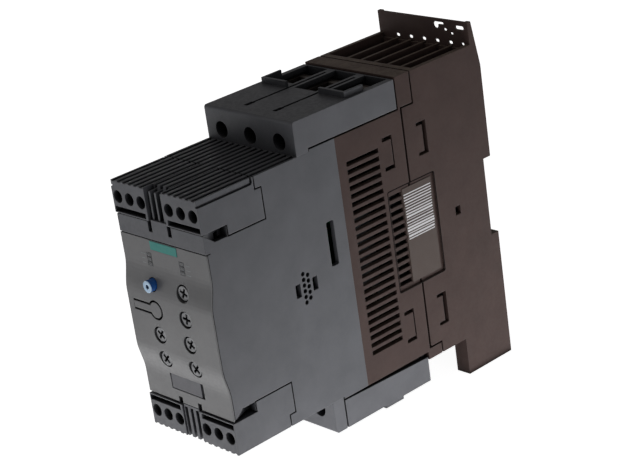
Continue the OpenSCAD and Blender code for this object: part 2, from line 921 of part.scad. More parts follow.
// Side wall's front edge, which follows the panel's curve behind its thin edge.
module cheek_outline() {
    behind = panel_edge + run_gap;
    polygon(concat(
        [[-rim_d + hair, panel_top], [-rim_d + hair, panel_low], [-front_d + behind, panel_low]],
        [for (z = panel_heights()) [-panel_d(z) + behind, z]],
        [[-front_d + behind, panel_top]]
    ));
}

module front_housing() {
    rear = control_board_d - board_t;
    color("#5d636b") difference() {
        union() {
            difference() {
                union() {
                    along_x(-half_w, half_w) front_outline();
                    both_sides() along_x(inner_x, half_w) cheek_outline();
                    slab(half_w, front_d, rim_d - hair, panel_top + strip_step, sill_z - plug_gap);
                    slab(mid_x, front_d, rim_d - hair, sill_z - 2 * plug_gap, control_top);
                    slab(mid_x, front_d, rim_d - hair, -control_top, panel_low - plug_gap);
                }
                difference() {
                    front_cavity();
                    all_corners() terminal_space(wall);
                }
            }
            both_sides() block(
                [inner_x - ledge_x, -rear, -ledge_z],
                [inner_x + hair, -rear + ledge_t, ledge_z]
            );
        }
        all_corners() terminal_space(plug_gap);
        both_ends() rib_grooves(front_d + over, cover_d, groove_t);
        middle_fins();
        all_corners() finger_notch();
        both_sides() block(
            [release_x - release_w / 2, -front_d - over, sill_z - release_h],
            [release_x + release_w / 2, -front_d + release_t, sill_z + over]
        );
        both_sides() block(
            [release_x - release_w / 2, -front_d - over, -sill_z - over],
            [release_x + release_w / 2, -front_d + release_t, -sill_z + low_release_h]
        );
        sound_holes();
        side_slot();
    }
}

module power_cover() {
    foot = cover_d - cover_foot;
    corner = [-cover_d + cover_round, power_top - cover_round];
    difference() {
        union() {
            along_x(-half_w, half_w) polygon(concat(
                [[-cover_d, control_top]],
                [for (a = [180:-round_step:90]) corner + cover_round * [cos(a), sin(a)]],
                [[-cover_rear, power_top], [-cover_rear, cover_low], [-foot, cover_low], [-foot, control_top]]
            ));
            both_sides() collar();
        }
        for (x = poles) translate([x, 0, 0]) {
            slab(chamber_x, chamber_front, chamber_rear, control_top - over, power_top - cover_skin);
            slab(
                well_x, x == 0 ? well_front + mid_well_l : well_front, well_rear,
                deck_z, power_top + collar_h + over
            );
            rod([0, screw_z], access_r, cover_d + over, chamber_front - over);
        }
        for (side = [-1, 1]) translate([side * pole_pitch / 2, 0, 0]) {
            slab(barrier_w / 2, barrier_front, barrier_rear, power_top - barrier_deep, power_top + over);
            slab(
                barrier_end_w / 2, barrier_front, barrier_front - barrier_end_l,
                power_top - barrier_deep, power_top + over
            );
        }
    }
}

// Raised edge in front of and outside an outer cable well.
module collar() {
    inside = pole_pitch - well_x - collar_t;
    outside = half_w - collar_in;
    difference() {
        block([inside, -collar_front, power_top - hair], [outside, -collar_rear, power_top + collar_h]);
        block(
            [inside - over, -collar_front + collar_t, power_top - over],
            [outside - collar_t, -collar_rear + over, power_top + collar_h + over]
        );
    }
}

module upper_power_cover() {
    color("#666c75") power_cover();
}

module lower_power_cover() {
    groove_d = cover_d - cover_foot;
    color("#666c75") difference() {
        mirror([0, 0, 1]) power_cover();
        both_sides() block(
            [half_w - rim_groove_t, -groove_d - half_seam, -power_top - over],
            [half_w + over, -groove_d + half_seam, -control_top]
        );
        both_sides() along_x(half_w - seam_wedge_t, half_w + over) polygon([
            [-groove_d, -cover_low], [-groove_d, -cover_low + over],
            [-cover_rear + over, -cover_low + over], [-cover_rear + over, -cover_low - seam_wedge_h]
        ]);
    }
}

// The upper right control terminal. The other three are its mirror images.
module terminal(rim) {
    left = mid_x + 2 * plug_gap;
    difference() {
        along_x(left, half_w) polygon([
            [-plug_front, sill_z + plug_gap], [-plug_step + plug_gap, sill_z + plug_gap],
            [-plug_step + plug_gap, heel_z + plug_gap], [-plug_d - plug_gap, heel_z + plug_gap],
            [-plug_d - plug_gap, plug_lip_z - plug_gap], [-plug_lip_d - plug_gap, plug_lip_z - plug_gap],
            [-plug_lip_d - plug_gap, control_top], [-plug_front, control_top]
        ]);
        rib_grooves(plug_front - plug_edge, plug_lip_d - over, groove_t);
        rib_grooves(plug_front + over, plug_front - plug_edge - over, plug_notch);
        for (x = way_places()) {
            rod([x, way_z], way_r, plug_front + over, way_deep - over);
            translate([x, 0, 0]) slab(
                cage_x + cage_gap, way_deep, chamber_d - cage_gap, wire_slot_low, cage_top + cage_gap
            );
        }
        block(
            [left + wire_slot_in, -plug_front - over, wire_slot_low],
            [half_w - wire_slot_out, -way_deep + over, wire_slot_low + wire_slot_h]
        );
        if (rim) rim_groove();
    }
}

// Set-back outer rib with a groove under it, turned up at its rear end.
module rim_groove() {
    z = control_top - rim_groove_z;
    rear = -rim_groove_d + rim_groove_w;
    along_x(half_w - rim_groove_t, half_w + over) polygon([
        [-plug_front - over, z - rim_groove_w], [-rim_groove_d, z - rim_groove_w], [rear, z],
        [rear, control_top + over], [-rim_groove_d, control_top + over],
        [-rim_groove_d, z], [-plug_front - over, z]
    ]);
    block([half_w - rim_in, -plug_front - over, z - hair], [half_w + over, rear, control_top + over]);
}

function way_places() = [for (i = [0:way_count - 1]) way_x + i * way_pitch];

module control_terminal(side, end) {
    color("#5d636b") mirror([side < 0 ? 1 : 0, 0, 0]) mirror([0, 0, end < 0 ? 1 : 0]) terminal(end > 0);
}

module control_screws() {
    color("#b9bcc0") all_corners() for (x = way_places()) difference() {
        union() {
            rod([x, way_z], way_head_r, way_head_d, way_head_d - way_head_t);
            rod([x, way_z], way_shank_r, way_head_d - way_head_t + hair, way_tip);
        }
        translate([x, 0, 0]) slab(
            way_head_r + over, way_head_d + over, way_head_d - way_slot_t,
            way_z - way_slot_w / 2, way_z + way_slot_w / 2
        );
    }
}

// Wire cages: open below the screw to the front, with a hole for the screw's shank.
module control_clamps() {
    front = way_deep - cage_gap;
    color("#c9b477") all_corners() for (x = way_places()) translate([x, 0, 0]) difference() {
        slab(cage_x, front, chamber_d, cage_low, cage_top);
        slab(
            cage_x - cage_wall, front - cage_wall, chamber_d + cage_wall,
            cage_low + cage_wall, cage_top - cage_wall
        );
        slab(
            cage_x - cage_wall, front + over, front - cage_wall - over,
            cage_low + cage_wall, wire_slot_low + wire_slot_h
        );
        rod([0, way_z], way_shank_r + hair, front + over, front - cage_wall - over);
    }
}

module power_screws() {
    color("#b9bcc0") both_ends() for (x = poles) difference() {
        union() {
            rod([x, screw_z], power_head_r, power_head_front, power_head_front - power_head_t);
            rod([x, screw_z], power_shank_r, power_head_front - power_head_t + hair, power_tip);
        }
        translate([x, 0, 0]) slab(
            power_head_r + over, power_head_front + over, power_head_front - power_slot_t,
            screw_z - power_slot_w / 2, screw_z + power_slot_w / 2
        );
    }
}

// Box clamp: a frame round the cable and the busbar's end, with the screw through its front wall.
module power_clamp(pole, end) {
    top = power_top - cover_skin - clamp_drop;
    color("#b59b8a") mirror([0, 0, end < 0 ? 1 : 0]) translate([poles[pole], 0, 0]) difference() {
        slab(clamp_x, clamp_front, clamp_rear, deck_z, top);
        slab(throat_x, clamp_front - clamp_face, clamp_rear + clamp_back, deck_z - over, top + over);
        rod([0, screw_z], power_shank_r + hair, clamp_front + over, clamp_front - clamp_face - over);
    }
}

// Straight busbar of one pole between two heights.
module busbar(pole, low, high) {
    color("#b87333") translate([poles[pole], 0, 0]) slab(bar_w / 2, bar_rear + bar_t, bar_rear, low, high);
}

module thyristor_module(side) {
    color("#2c2c2e") mirror([side < 0 ? 1 : 0, 0, 0])
        block([module_x0, -module_front, -module_z], [module_x1, -sink_front, module_z]);
}

module bypass_relay() {
    color("#d8d6cc") slab(relay_x, power_board_d - board_t, relay_rear, -relay_z, relay_z);
}

module current_transformer(pole) {
    color("#22304a") translate([poles[pole], 0, 0]) difference() {
        slab(transformer_x, transformer_front, transformer_rear, transformer_low, transformer_top);
        slab(
            bar_w / 2 + bar_clear, bar_rear + bar_t + bar_clear, bar_rear - bar_clear,
            transformer_low - over, transformer_top + over
        );
    }
}

// Extrusion with upright fins that stand back from a base plate.
module heat_sink() {
    color("#a9acb0") {
        slab(inner_x - run_gap, sink_front, sink_front - sink_base, -sink_z, sink_z);
        for (x = centred(sink_fins, sink_pitch)) {
            translate([x, 0, 0])
                slab(sink_fin / 2, sink_front - sink_base + hair, sink_rear, -sink_z, sink_z);
        }
    }
}

module power_board() {
    color("#2f6b45")
        slab(inner_x - run_gap, power_board_d, power_board_d - board_t, -power_board_z, power_board_z);
}

module control_board() {
    rear = control_board_d - board_t;
    color("#2f6b45") slab(inner_x - run_gap, control_board_d, rear, -control_board_z, control_board_z);
}

module interface_board() {
    color("#2f6b45")
        slab(board_t / 2, control_board_d - board_t, power_board_d, -interface_z, interface_z);
}

module supply_module() {
    color("#303236") block(
        [board_t / 2, -supply_front, -supply_z],
        [board_t / 2 + supply_x, -supply_rear, supply_z]
    );
}

module front_panel() {
    heights = panel_heights();
    outer = concat(
        [[-front_d, panel_low]],
        [for (z = heights) [-panel_d(z), z]],
        [[-front_d, panel_top]]
    );
    fit_x = inner_x - run_gap;
    color("#666c74") difference() {
        union() {
            along_x(-half_w, half_w) polygon(concat(
                outer,
                [for (i = [len(outer) - 1:-1:0]) outer[i] + [panel_edge, 0]]
            ));
            along_x(-fit_x, fit_x) polygon(concat(outer, [[-rim_d, panel_top], [-rim_d, panel_low]]));
        }
        along_x(-inner_x, inner_x) polygon(concat(
            [for (z = heights) [-panel_d(z) + panel_t, z]],
            [[-rim_d + over, bulge_top], [-rim_d + over, -bulge_low]]
        ));
        for (i = [0:5]) rod(dial_at(i), dial_r + dial_ring, panel_d(0) + over, rim_d - over);
        rod([-column_x, row_z(button_row)], button_r + button_ring, panel_d(0) + over, rim_d - over);
        along_y(panel_d(0) + over, rim_d - over) tongue_outline(slit_w, root_x - root_gap);
        both_sides() for (z = centred(guide_count, guide_pitch)) translate([guide_x, 0, guide_z + z])
            slab(
                guide_half + window_gap, front_d + over, rim_d - over,
                -guide_thin - window_gap, guide_thin + window_gap
            );
        slab(plate_x, front_d + over, front_d - plate_in, plate_z0, plate_z1);
        slab(insert_x, panel_d(0) + over, front_d - insert_deep, insert_z0, insert_z1);
        block(
            [insert_x - insert_pull, -panel_d(0) - over, insert_z0],
            [insert_x, -rim_d + over, insert_z1]
        );
        both_sides() block(
            [release_x - release_w / 2, -front_d - over, panel_low - over],
            [release_x + release_w / 2, -rim_d + over, -sill_z + low_release_h]
        );
        both_sides() mirror([0, 0, 1]) finger_notch();
    }
}

// Stem and round pad of the mode tongue, grown all round and closed at its root.
module tongue_outline(grow, root) {
    translate([root, row_z(tongue_row) - stem_z - grow]) square([-column_x - root, 2 * (stem_z + grow)]);
    translate([-column_x, row_z(tongue_row)]) circle(r = pad_r + grow);
}

module mode_tongue() {
    face = panel_d(row_z(tongue_row));
    rear = face - tongue_t;
    color("#666c74") {
        along_y(face, rear) tongue_outline(0, root_x);
        rod([-column_x, row_z(tongue_row)], tongue_boss_r, rear + hair, rear - tongue_boss_l);
    }
}

module switch_block(row, front) {
    color("#26282b") translate([-column_x, 0, row_z(row)])
        slab(switch_half, front, control_board_d, -switch_half, switch_half);
}

module reset_switch() {
    switch_block(button_row, reset_switch_front);
}

module mode_switch() {
    switch_block(tongue_row, mode_switch_front);
}

module reset_button() {
    at = [-column_x, row_z(button_row)];
    collar_rear = button_collar_front - button_collar_t;
    color("#2f6fd0") difference() {
        union() {
            rod(at, button_r, button_front, button_collar_front - hair);
            rod(at, button_collar_r, button_collar_front, collar_rear);
            rod(at, button_stem_r, collar_rear + hair, button_stem_end);
        }
        rod(at, button_hole_r, button_front + over, button_front - button_hole_t);
    }
}

module reset_spring() {
    front = button_collar_front - button_collar_t;
    color("#b9bcc0") translate([-column_x, -front, row_z(button_row)]) rotate([-90, 0, 0])
        coil(reset_coil_r, reset_wire_r, reset_turns, front - reset_switch_front);
}

// Rotor of one setting: a disc with a cross slot on a stem.
module setting_dial(i) {
    at = dial_at(i);
    face = panel_d(at[1]) - dial_sink;
    color("#6b7078") difference() {
        union() {
            rod(at, dial_r, face, face - dial_t);
            rod(at, dial_stem_r, face - dial_t + hair, dial_stem_end);
        }
        translate([at[0], 0, at[1]]) rotate([0, dial_turn[i], 0]) for (turn = [0, 90]) rotate([0, turn, 0])
            slab(dial_cross_l / 2, face + over, face - dial_cross_t, -dial_cross_w / 2, dial_cross_w / 2);
    }
}

module trimmer(i) {
    at = dial_at(i);
    color("#33507a") translate([at[0], 0, at[1]]) difference() {
        slab(trimmer_half, trimmer_front, control_board_d, -trimmer_half, trimmer_half);
        rod([0, 0], dial_stem_r + run_gap, trimmer_front + over, control_board_d);
    }
}

// Three light fingers on a bridge, with a foot on the control board.
module light_guide(side) {
    color("#3c4046") translate([side * guide_x, 0, guide_z]) {
        for (z = centred(guide_count, guide_pitch)) translate([0, 0, z])
            slab(guide_half, front_d, guide_end, -guide_thin, guide_thin);
        slab(
            guide_half, guide_end + guide_bridge, guide_end,
            -guide_pitch - guide_thin, guide_pitch + guide_thin
        );
        slab(guide_half, guide_end + hair, control_board_d, -guide_thin, guide_thin);
    }
}

module name_plate() {
    rear = front_d - plate_in;
    color("#1f8f8a") slab(plate_x - hair, rear + plate_thick, rear, plate_z0 + hair, plate_z1 - hair);
}

module label_insert() {
    rear = front_d - insert_deep;
    color("#70767e") block(
        [-insert_x + insert_edge, -rear - insert_t, insert_z0 + insert_edge],
        [insert_x - insert_pull - hair, -rear, insert_z1 - insert_edge]
    );
}

module data_label() {
    floor_x = half_w - recess_t;
    rear = recess_d + label_edge;
    color("#d9d6cf") block(
        [floor_x, -rear - label_l, -recess_h / 2 + label_edge],
        [floor_x + label_t, -rear, recess_h / 2 - label_edge]
    );
}

// Sprung hook: a flat slider with a nose behind the rail, a slot for the spring and an eye to pull it.
module rail_slider() {
    top = -notch_h / 2;
    low = top - slider_h;
    front = -notch_d + run_gap;
    rear = front + slider_t;
    nose_front = -notch_d + hook_gap;
    nose_tip = nose_front + hook_t / 2;
    color("#2a2422") difference() {
        along_x(-slider_x, slider_x) polygon([
            [front, low], [rear, low], [rear, top], [nose_tip, top + hook_reach],
            [nose_front, top + hook_reach], [nose_front, top], [front, top]
        ]);
        slab(spring_slot_x, notch_d + over, -over, -spring_slot_low, -spring_slot_top);
        slab(eye_x, notch_d + over, -over, low + eye_rise, low + eye_rise + eye_h);
    }
}

module rail_spring() {
    low = -spring_slot_low + peg_h;
    color("#b9bcc0") translate([0, -notch_d + run_gap + slider_t / 2, low])
        coil(rail_coil_r, rail_wire_r, rail_turns, -spring_slot_top - low);
}

rear_housing();
middle_housing();
front_housing();
front_panel();
upper_power_cover();
lower_power_cover();
control_terminal(-1, 1);  // upper_left_terminal
control_terminal(1, 1);  // upper_right_terminal
control_terminal(-1, -1);  // lower_left_terminal
control_terminal(1, -1);  // lower_right_terminal
control_screws();
control_clamps();
power_screws();
for (i = [0:5]) power_clamp(i % 3, i < 3 ? 1 : -1);
busbar(0, module_z, power_top - cover_skin - clamp_drop);  // line_busbar_1
busbar(0, -power_top + cover_skin + clamp_drop, -module_z);  // load_busbar_1
busbar(1, -power_top + cover_skin + clamp_drop, power_top - cover_skin - clamp_drop);  // through_busbar
busbar(2, module_z, power_top - cover_skin - clamp_drop);  // line_busbar_3
busbar(2, -power_top + cover_skin + clamp_drop, -module_z);  // load_busbar_3
thyristor_module(-1);  // thyristor_module_1
thyristor_module(1);  // thyristor_module_2
bypass_relay();
current_transformer(0);  // current_transformer_1
current_transformer(2);  // current_transformer_2
heat_sink();
power_board();
interface_board();
supply_module();
control_board();
for (i = [0:5]) trimmer(i);
for (i = [0:5]) setting_dial(i);
reset_button();
reset_spring();
reset_switch();
mode_tongue();
mode_switch();
light_guide(-1);  // light_guide_left
light_guide(1);  // light_guide_right
name_plate();
label_insert();
data_label();
rail_slider();
rail_spring();
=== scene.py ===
"""Looks of a motor soft starter: finishes, print, springs, an inner plate, light and camera round the solids."""

import logging
import math
from collections.abc import Iterable, Sequence
from dataclasses import dataclass
from enum import Enum
from typing import Any

import bpy
from mathutils import Matrix, Vector


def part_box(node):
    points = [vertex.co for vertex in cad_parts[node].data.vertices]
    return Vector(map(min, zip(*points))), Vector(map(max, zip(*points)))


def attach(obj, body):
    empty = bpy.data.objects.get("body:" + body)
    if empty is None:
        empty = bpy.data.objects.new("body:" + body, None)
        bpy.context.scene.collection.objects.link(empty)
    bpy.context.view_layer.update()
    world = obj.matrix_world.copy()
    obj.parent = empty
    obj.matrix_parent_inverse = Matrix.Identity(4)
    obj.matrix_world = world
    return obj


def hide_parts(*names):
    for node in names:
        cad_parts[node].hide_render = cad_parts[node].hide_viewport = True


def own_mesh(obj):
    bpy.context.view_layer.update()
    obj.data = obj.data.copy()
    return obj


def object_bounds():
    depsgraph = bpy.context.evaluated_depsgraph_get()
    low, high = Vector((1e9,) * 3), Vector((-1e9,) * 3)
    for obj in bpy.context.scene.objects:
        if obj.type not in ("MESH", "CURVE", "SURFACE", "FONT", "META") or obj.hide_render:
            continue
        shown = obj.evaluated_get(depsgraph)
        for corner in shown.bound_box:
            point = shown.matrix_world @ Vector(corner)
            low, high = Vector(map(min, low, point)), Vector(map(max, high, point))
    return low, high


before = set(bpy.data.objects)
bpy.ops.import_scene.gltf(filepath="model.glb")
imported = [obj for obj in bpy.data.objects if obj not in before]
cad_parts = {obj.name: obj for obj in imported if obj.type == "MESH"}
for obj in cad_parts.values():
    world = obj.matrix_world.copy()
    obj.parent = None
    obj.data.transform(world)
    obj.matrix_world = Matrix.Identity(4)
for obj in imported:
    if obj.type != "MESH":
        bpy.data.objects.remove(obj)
CAD_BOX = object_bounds()

LOG = logging.getLogger("soft_starter")
MM = 0.001
HOUSING = "housing"
QUARTER_TURN = math.pi / 2
WHITE = (1.0, 1.0, 1.0, 1.0)
Colour = tuple[float, float, float]
Place = tuple[float, float, float]
Span = tuple[float, float]


class Direction(Enum):
    """Axis along which the lines of a drawn surface run, as shares of their frequency along X, Y and Z."""

    Y = (1.0, 0.06, 1.0)
    Z = (1.0, 1.0, 0.06)


def tint(code: str) -> Colour:
    """Turns a six-digit display colour into scene-linear values, by the usual display curve.

    Args:
        code: Hexadecimal red, green and blue as seen on a display.

    Returns:
        Linear red, green and blue from 0 to 1.
    """
    shares = [int(code[i:i + 2], 16) / 255 for i in (0, 2, 4)]
    red, green, blue = (s / 12.92 if s <= 0.04045 else ((s + 0.055) / 1.055) ** 2.4 for s in shares)
    return red, green, blue


def scaled(colour: Colour, share: float) -> Colour:
    """Gives a colour with each of its values times a share."""
    red, green, blue = (c * share for c in colour)
    return red, green, blue


def moved(colour: Colour, goal: Colour, share: float) -> Colour:
    """Gives a colour that has gone a share of the way to another."""
    red, green, blue = (c + (g - c) * share for c, g in zip(colour, goal))
    return red, green, blue


def around(value: float, span: Span) -> Span:
    """Gives the range that a span makes round a value."""
    return value + span[0], value + span[1]


def numbered(stem: str, count: int) -> tuple[str, ...]:
    """Gives the names stem_1 to stem_count."""
    return tuple(f"{stem}_{i}" for i in range(1, count + 1))


class NodeSheet:
    """A node tree, emptied first, with short ways to add and join its nodes."""

    def __init__(self, tree: bpy.types.NodeTree) -> None:
        """Takes a tree and empties it."""
        self.tree = tree
        self.tree.nodes.clear()

    def add(self, kind: str, values: dict[Any, Any] | None = None, **settings: Any) -> bpy.types.Node:
        """Adds a node.

        Args:
            kind: Blender's name of the node type.
            values: Names or numbers of inputs and what they take, a plain value or another node's output.
            settings: The node's own settings.

        Returns:
            The new node.
        """
        node = self.tree.nodes.new(kind)
        for key, value in settings.items():
            setattr(node, key, value)
        for key, value in (values or {}).items():
            self.feed(node.inputs[key], value)
        return node

    def feed(self, socket: bpy.types.NodeSocket, value: Any) -> None:
        """Joins an output to a socket, or sets the socket's plain value.

        Args:
            socket: Input of a node.
            value: Another node's output, or a plain value.
        """
        if isinstance(value, bpy.types.NodeSocket):
            self.tree.links.new(value, socket)
        else:
            socket.default_value = value


class ShaderSheet(NodeSheet):
    """A material's node tree, with the patterns and masks that the finishes share."""

    SAMPLES = 6
    NOISE_MIDDLE = (0.3, 0.7)
    EDGE_COSINES = (1.0, 0.8)
    # Shares of open surroundings at which the painted shade in recesses begins and is full.
    POCKET_SHADE_START = 0.58
    POCKET_SHADE_END = 0.24
    MIX_COLOURS = (6, 7)
    MIX_RESULT = 2

    def __init__(self, name: str) -> None:
        """Starts a material with a surface shader, its output and the object's own coordinates.

        Args:
            name: Name of the material.
        """
        self.material = bpy.data.materials.new(name)
        self.material.use_nodes = True
        super().__init__(self.material.node_tree)
        self.surface = self.add("ShaderNodeBsdfPrincipled")
        self.add("ShaderNodeOutputMaterial", {"Surface": self.surface.outputs["BSDF"]})
        self.place = self.add("ShaderNodeTexCoord").outputs["Object"]

    def finish(self, values: dict[str, Any]) -> bpy.types.Material:
        """Feeds the surface shader.

        Args:
            values: Names of the shader's inputs and what they take.

        Returns:
            The finished material.
        """
        for name, value in values.items():
            self.feed(self.surface.inputs[name], value)
        return self.material

    def noise(self, size: float, detail: float, stretch: Sequence[float] = (1, 1, 1)) -> bpy.types.NodeSocket:
        """Gives a noise value whose patches have a real size.

        Args:
            size: Typical patch size in metres.
            detail: How many finer octaves are added.
            stretch: Share of the frequency along each axis.

        Returns:
            The noise factor, from 0 to 1.
        """
        mapping = self.add("ShaderNodeMapping", {"Vector": self.place, "Scale": tuple(stretch)})
        values = {"Vector": mapping.outputs[0], "Scale": 1 / size, "Detail": detail}
        return self.add("ShaderNodeTexNoise", values).outputs[0]

    def ramp(
        self, value: bpy.types.NodeSocket, source: Span = (0.0, 1.0), target: Span = (0.0, 1.0)
    ) -> bpy.types.NodeSocket:
        """Maps a value from one range to another, held at both ends.

        Args:
            value: The value.
            source: Where the value starts and ends.
            target: What the start and the end become.

        Returns:
            The mapped value.
        """
        ends = {"From Min": source[0], "From Max": source[1], "To Min": target[0], "To Max": target[1]}
        return self.add("ShaderNodeMapRange", {"Value": value, **ends}).outputs[0]

    def span(self, value: bpy.types.NodeSocket, target: Span) -> bpy.types.NodeSocket:
        """Maps the middle of a noise value to a range."""
        return self.ramp(value, self.NOISE_MIDDLE, target)

    def patches(self, size: float, detail: float, target: Span = (0.0, 1.0)) -> bpy.types.NodeSocket:
        """Gives patches of a real size whose values fill a range."""
        return self.span(self.noise(size, detail), target)

    def blend(self, factor: bpy.types.NodeSocket, first: Any, second: Any) -> bpy.types.NodeSocket:
        """Mixes two colours.

        Args:
            factor: Share of the second colour.
            first: A colour or another node's output.
            second: A colour or another node's output.

        Returns:
            The mixed colour.
        """
        node = self.add("ShaderNodeMix", {0: factor}, data_type="RGBA")
        for number, colour in zip(self.MIX_COLOURS, (first, second)):
            self.feed(node.inputs[number], colour if isinstance(colour, bpy.types.NodeSocket) else (*colour, 1.0))
        return node.outputs[self.MIX_RESULT]

    def calculate(self, operation: str, first: Any, second: Any) -> bpy.types.NodeSocket:
        """Gives the result of a sum, product or other plain operation on two values, held from 0 to 1."""
        return self.add("ShaderNodeMath", {0: first, 1: second}, operation=operation, use_clamp=True).outputs[0]

    def rounded(self, radius: float) -> tuple[bpy.types.NodeSocket, bpy.types.NodeSocket]:
        """Rounds sharp edges in the shading.

        Args:
            radius: Edge radius in metres.

        Returns:
            The rounded normal, and a mask that is high along edges.
        """
        bevel = self.add("ShaderNodeBevel", {"Radius": radius}, samples=self.SAMPLES).outputs[0]
        true_normal = self.add("ShaderNodeNewGeometry").outputs["True Normal"]
        cosine = self.add("ShaderNodeVectorMath", {0: bevel, 1: true_normal}, operation="DOT_PRODUCT")
        return bevel, self.ramp(cosine.outputs["Value"], self.EDGE_COSINES)

    def pocket_shade(self, reach: float, start: float = POCKET_SHADE_START) -> bpy.types.NodeSocket:
        """Gives a mask of painted shade that is high inside slots, holes and seams.

        Args:
            reach: How far away a facing wall may lie, in metres.
            start: Share of open surroundings at which the mask begins.

        Returns:
            The mask, from 0 on open faces to 1 in deep recesses.
        """
        open_share = self.add("ShaderNodeAmbientOcclusion", {"Distance": reach}, samples=self.SAMPLES)
        return self.ramp(open_share.outputs["AO"], (start, self.POCKET_SHADE_END))

    def facing(self, axis: Direction, lean: Span) -> bpy.types.NodeSocket:
        """Gives a mask that is high on faces that look along one axis.

        Args:
            axis: The axis.
            lean: Shares of the normal along the axis at which the mask is 0 and 1.

        Returns:
            The mask, from 0 to 1.
        """
        normal = self.add("ShaderNodeNewGeometry").outputs["Normal"]
        share = self.add("ShaderNodeSeparateXYZ", {"Vector": normal}).outputs[axis.name]
        return self.ramp(share, lean)

    def bump(
        self, height: bpy.types.NodeSocket, depth: float, normal: bpy.types.NodeSocket | None = None
    ) -> bpy.types.NodeSocket:
        """Turns a height value into a bumped normal.

        Args:
            height: Height factor from 0 to 1.
            depth: Real height of the relief in metres.
            normal: Normal that the relief lies on, where it isn't the mesh's own.

        Returns:
            The bumped normal.
        """
        values = {"Height": height, "Distance": depth, "Strength": 1.0}
        if normal is not None:
            values["Normal"] = normal
        return self.add("ShaderNodeBump", values).outputs[0]


@dataclass(frozen=True)
class MouldedPlastic:
    """Moulded plastic with a fine spark-eroded grain, soft mottling, slightly polished edges, pale patches on top
    that are dust and painted top light, and painted shade in recesses.
    """

    name: str
    colour: str
    roughness: float = 0.5
    rough_span: Span = (-0.05, 0.07)
    scuff_size: float = 1.4 * MM
    grain: float = 0.35 * MM
    relief: float = 0.012 * MM
    mottle: float = 0.1
    mottle_size: float = 14 * MM
    edge: float = 0.3 * MM
    edge_shine: float = 0.22
    edge_tone: Colour = (0.45, 0.45, 0.45)
    wear_size: float = 3 * MM
    wear_span: Span = (0.15, 0.8)
    specular: float = 0.22
    # Painted shade: recesses found by ambient occlusion get a darker base colour and lose their specular.
    pocket_shade_reach: float = 8 * MM
    pocket_shade_start: float = ShaderSheet.POCKET_SHADE_START
    pocket_shade_depth: float = 0.92
    # Pale patches on upward faces, part dust and part painted top light.
    dust: float = 0.02
    dust_and_top_light_least: float = 0.4
    dust_and_top_light_size: float = 5 * MM
    dust_and_top_light_lean: Span = (0.6, 0.95)
    dust_and_top_light_colour: str = "a8998a"

    def material(self) -> bpy.types.Material:
        """Builds the material.

        Returns:
            The material.
        """
        sheet = ShaderSheet(self.name)
        base = tint(self.colour)
        dark, light = scaled(base, 1 - self.mottle), scaled(base, 1 + self.mottle)
        worn = moved(base, self.edge_tone, self.edge_shine)
        normal, edge = sheet.rounded(self.edge)
        mottled = sheet.blend(sheet.patches(self.mottle_size, detail=4), dark, light)
        wear = sheet.calculate("MULTIPLY", edge, sheet.patches(self.wear_size, detail=3, target=self.wear_span))
        # Pale patches on upward faces: dust, and painted top light.
        dust_and_top_light = sheet.calculate(
            "MULTIPLY", sheet.facing(Direction.Z, self.dust_and_top_light_lean),
            sheet.patches(self.dust_and_top_light_size, detail=4, target=(self.dust_and_top_light_least * self.dust, self.dust)),
        )
        colour = sheet.blend(dust_and_top_light, sheet.blend(wear, mottled, worn), tint(self.dust_and_top_light_colour))
        # Painted shade in slots, holes and seams.
        pocket_shade = sheet.pocket_shade(self.pocket_shade_reach, self.pocket_shade_start)
        scuffs = sheet.patches(self.scuff_size, detail=5)
        return sheet.finish({
            "Base Color": sheet.blend(pocket_shade, colour, scaled(base, 1 - self.pocket_shade_depth)),
            "Roughness": sheet.span(scuffs, around(self.roughness, self.rough_span)),
            "Normal": sheet.bump(sheet.noise(self.grain, detail=2), self.relief, normal),
            "Specular IOR Level": sheet.ramp(pocket_shade, target=(self.specular, 0.0)),
        })


@dataclass(frozen=True)
class GlossPlastic:
    """Smooth coloured moulding with a faint orange-peel surface, painted highlights on its edges and front, and
    painted shade in recesses.
    """

    name: str
    colour: str
    roughness: float = 0.22
    rough_span: Span = (-0.04, 0.06)
    rough_size: float = 0.8 * MM
    patch_tone: float = 0.82
    patch_size: float = 3 * MM
    edge: float = 0.25 * MM
    # Painted highlight: edges and faces looking to the front move towards a pale colour.
    edge_highlight_colour: str = "9fb0c8"
    edge_highlight_share: float = 0.3
    front_highlight_share: float = 0.0
    front_highlight_lean: Span = (-0.8, -0.98)
    pocket_shade_reach: float = 3 * MM
    # Share of the base colour that the painted shade in recesses goes down to.
    pocket_shade_tone: float = 0.2
    peel_size: float = 0.9 * MM
    peel_depth: float = 0.008 * MM
    coat: float = 0.2

    def material(self) -> bpy.types.Material:
        """Builds the material.

        Returns:
            The material.
        """
        sheet = ShaderSheet(self.name)
        base = tint(self.colour)
        # Painted highlight colour for edges and front.
        pale = moved(base, tint(self.edge_highlight_colour), self.edge_highlight_share)
        normal, edge = sheet.rounded(self.edge)
        body = sheet.blend(sheet.patches(self.patch_size, detail=3), scaled(base, self.patch_tone), base)
        # Painted highlight on faces looking to the front.
        front = sheet.calculate("MULTIPLY", sheet.facing(Direction.Y, self.front_highlight_lean), self.front_highlight_share)
        colour = sheet.blend(sheet.calculate("MAXIMUM", edge, front), body, pale)
        return sheet.finish({
            # Painted shade in recesses.
            "Base Color": sheet.blend(sheet.pocket_shade(self.pocket_shade_reach), colour, scaled(base, self.pocket_shade_tone)),
            "Roughness": sheet.patches(self.rough_size, detail=3, target=around(self.roughness, self.rough_span)),
            "Normal": sheet.bump(sheet.noise(self.peel_size, detail=1), self.peel_depth, normal),
            "Coat Weight": self.coat,
        })


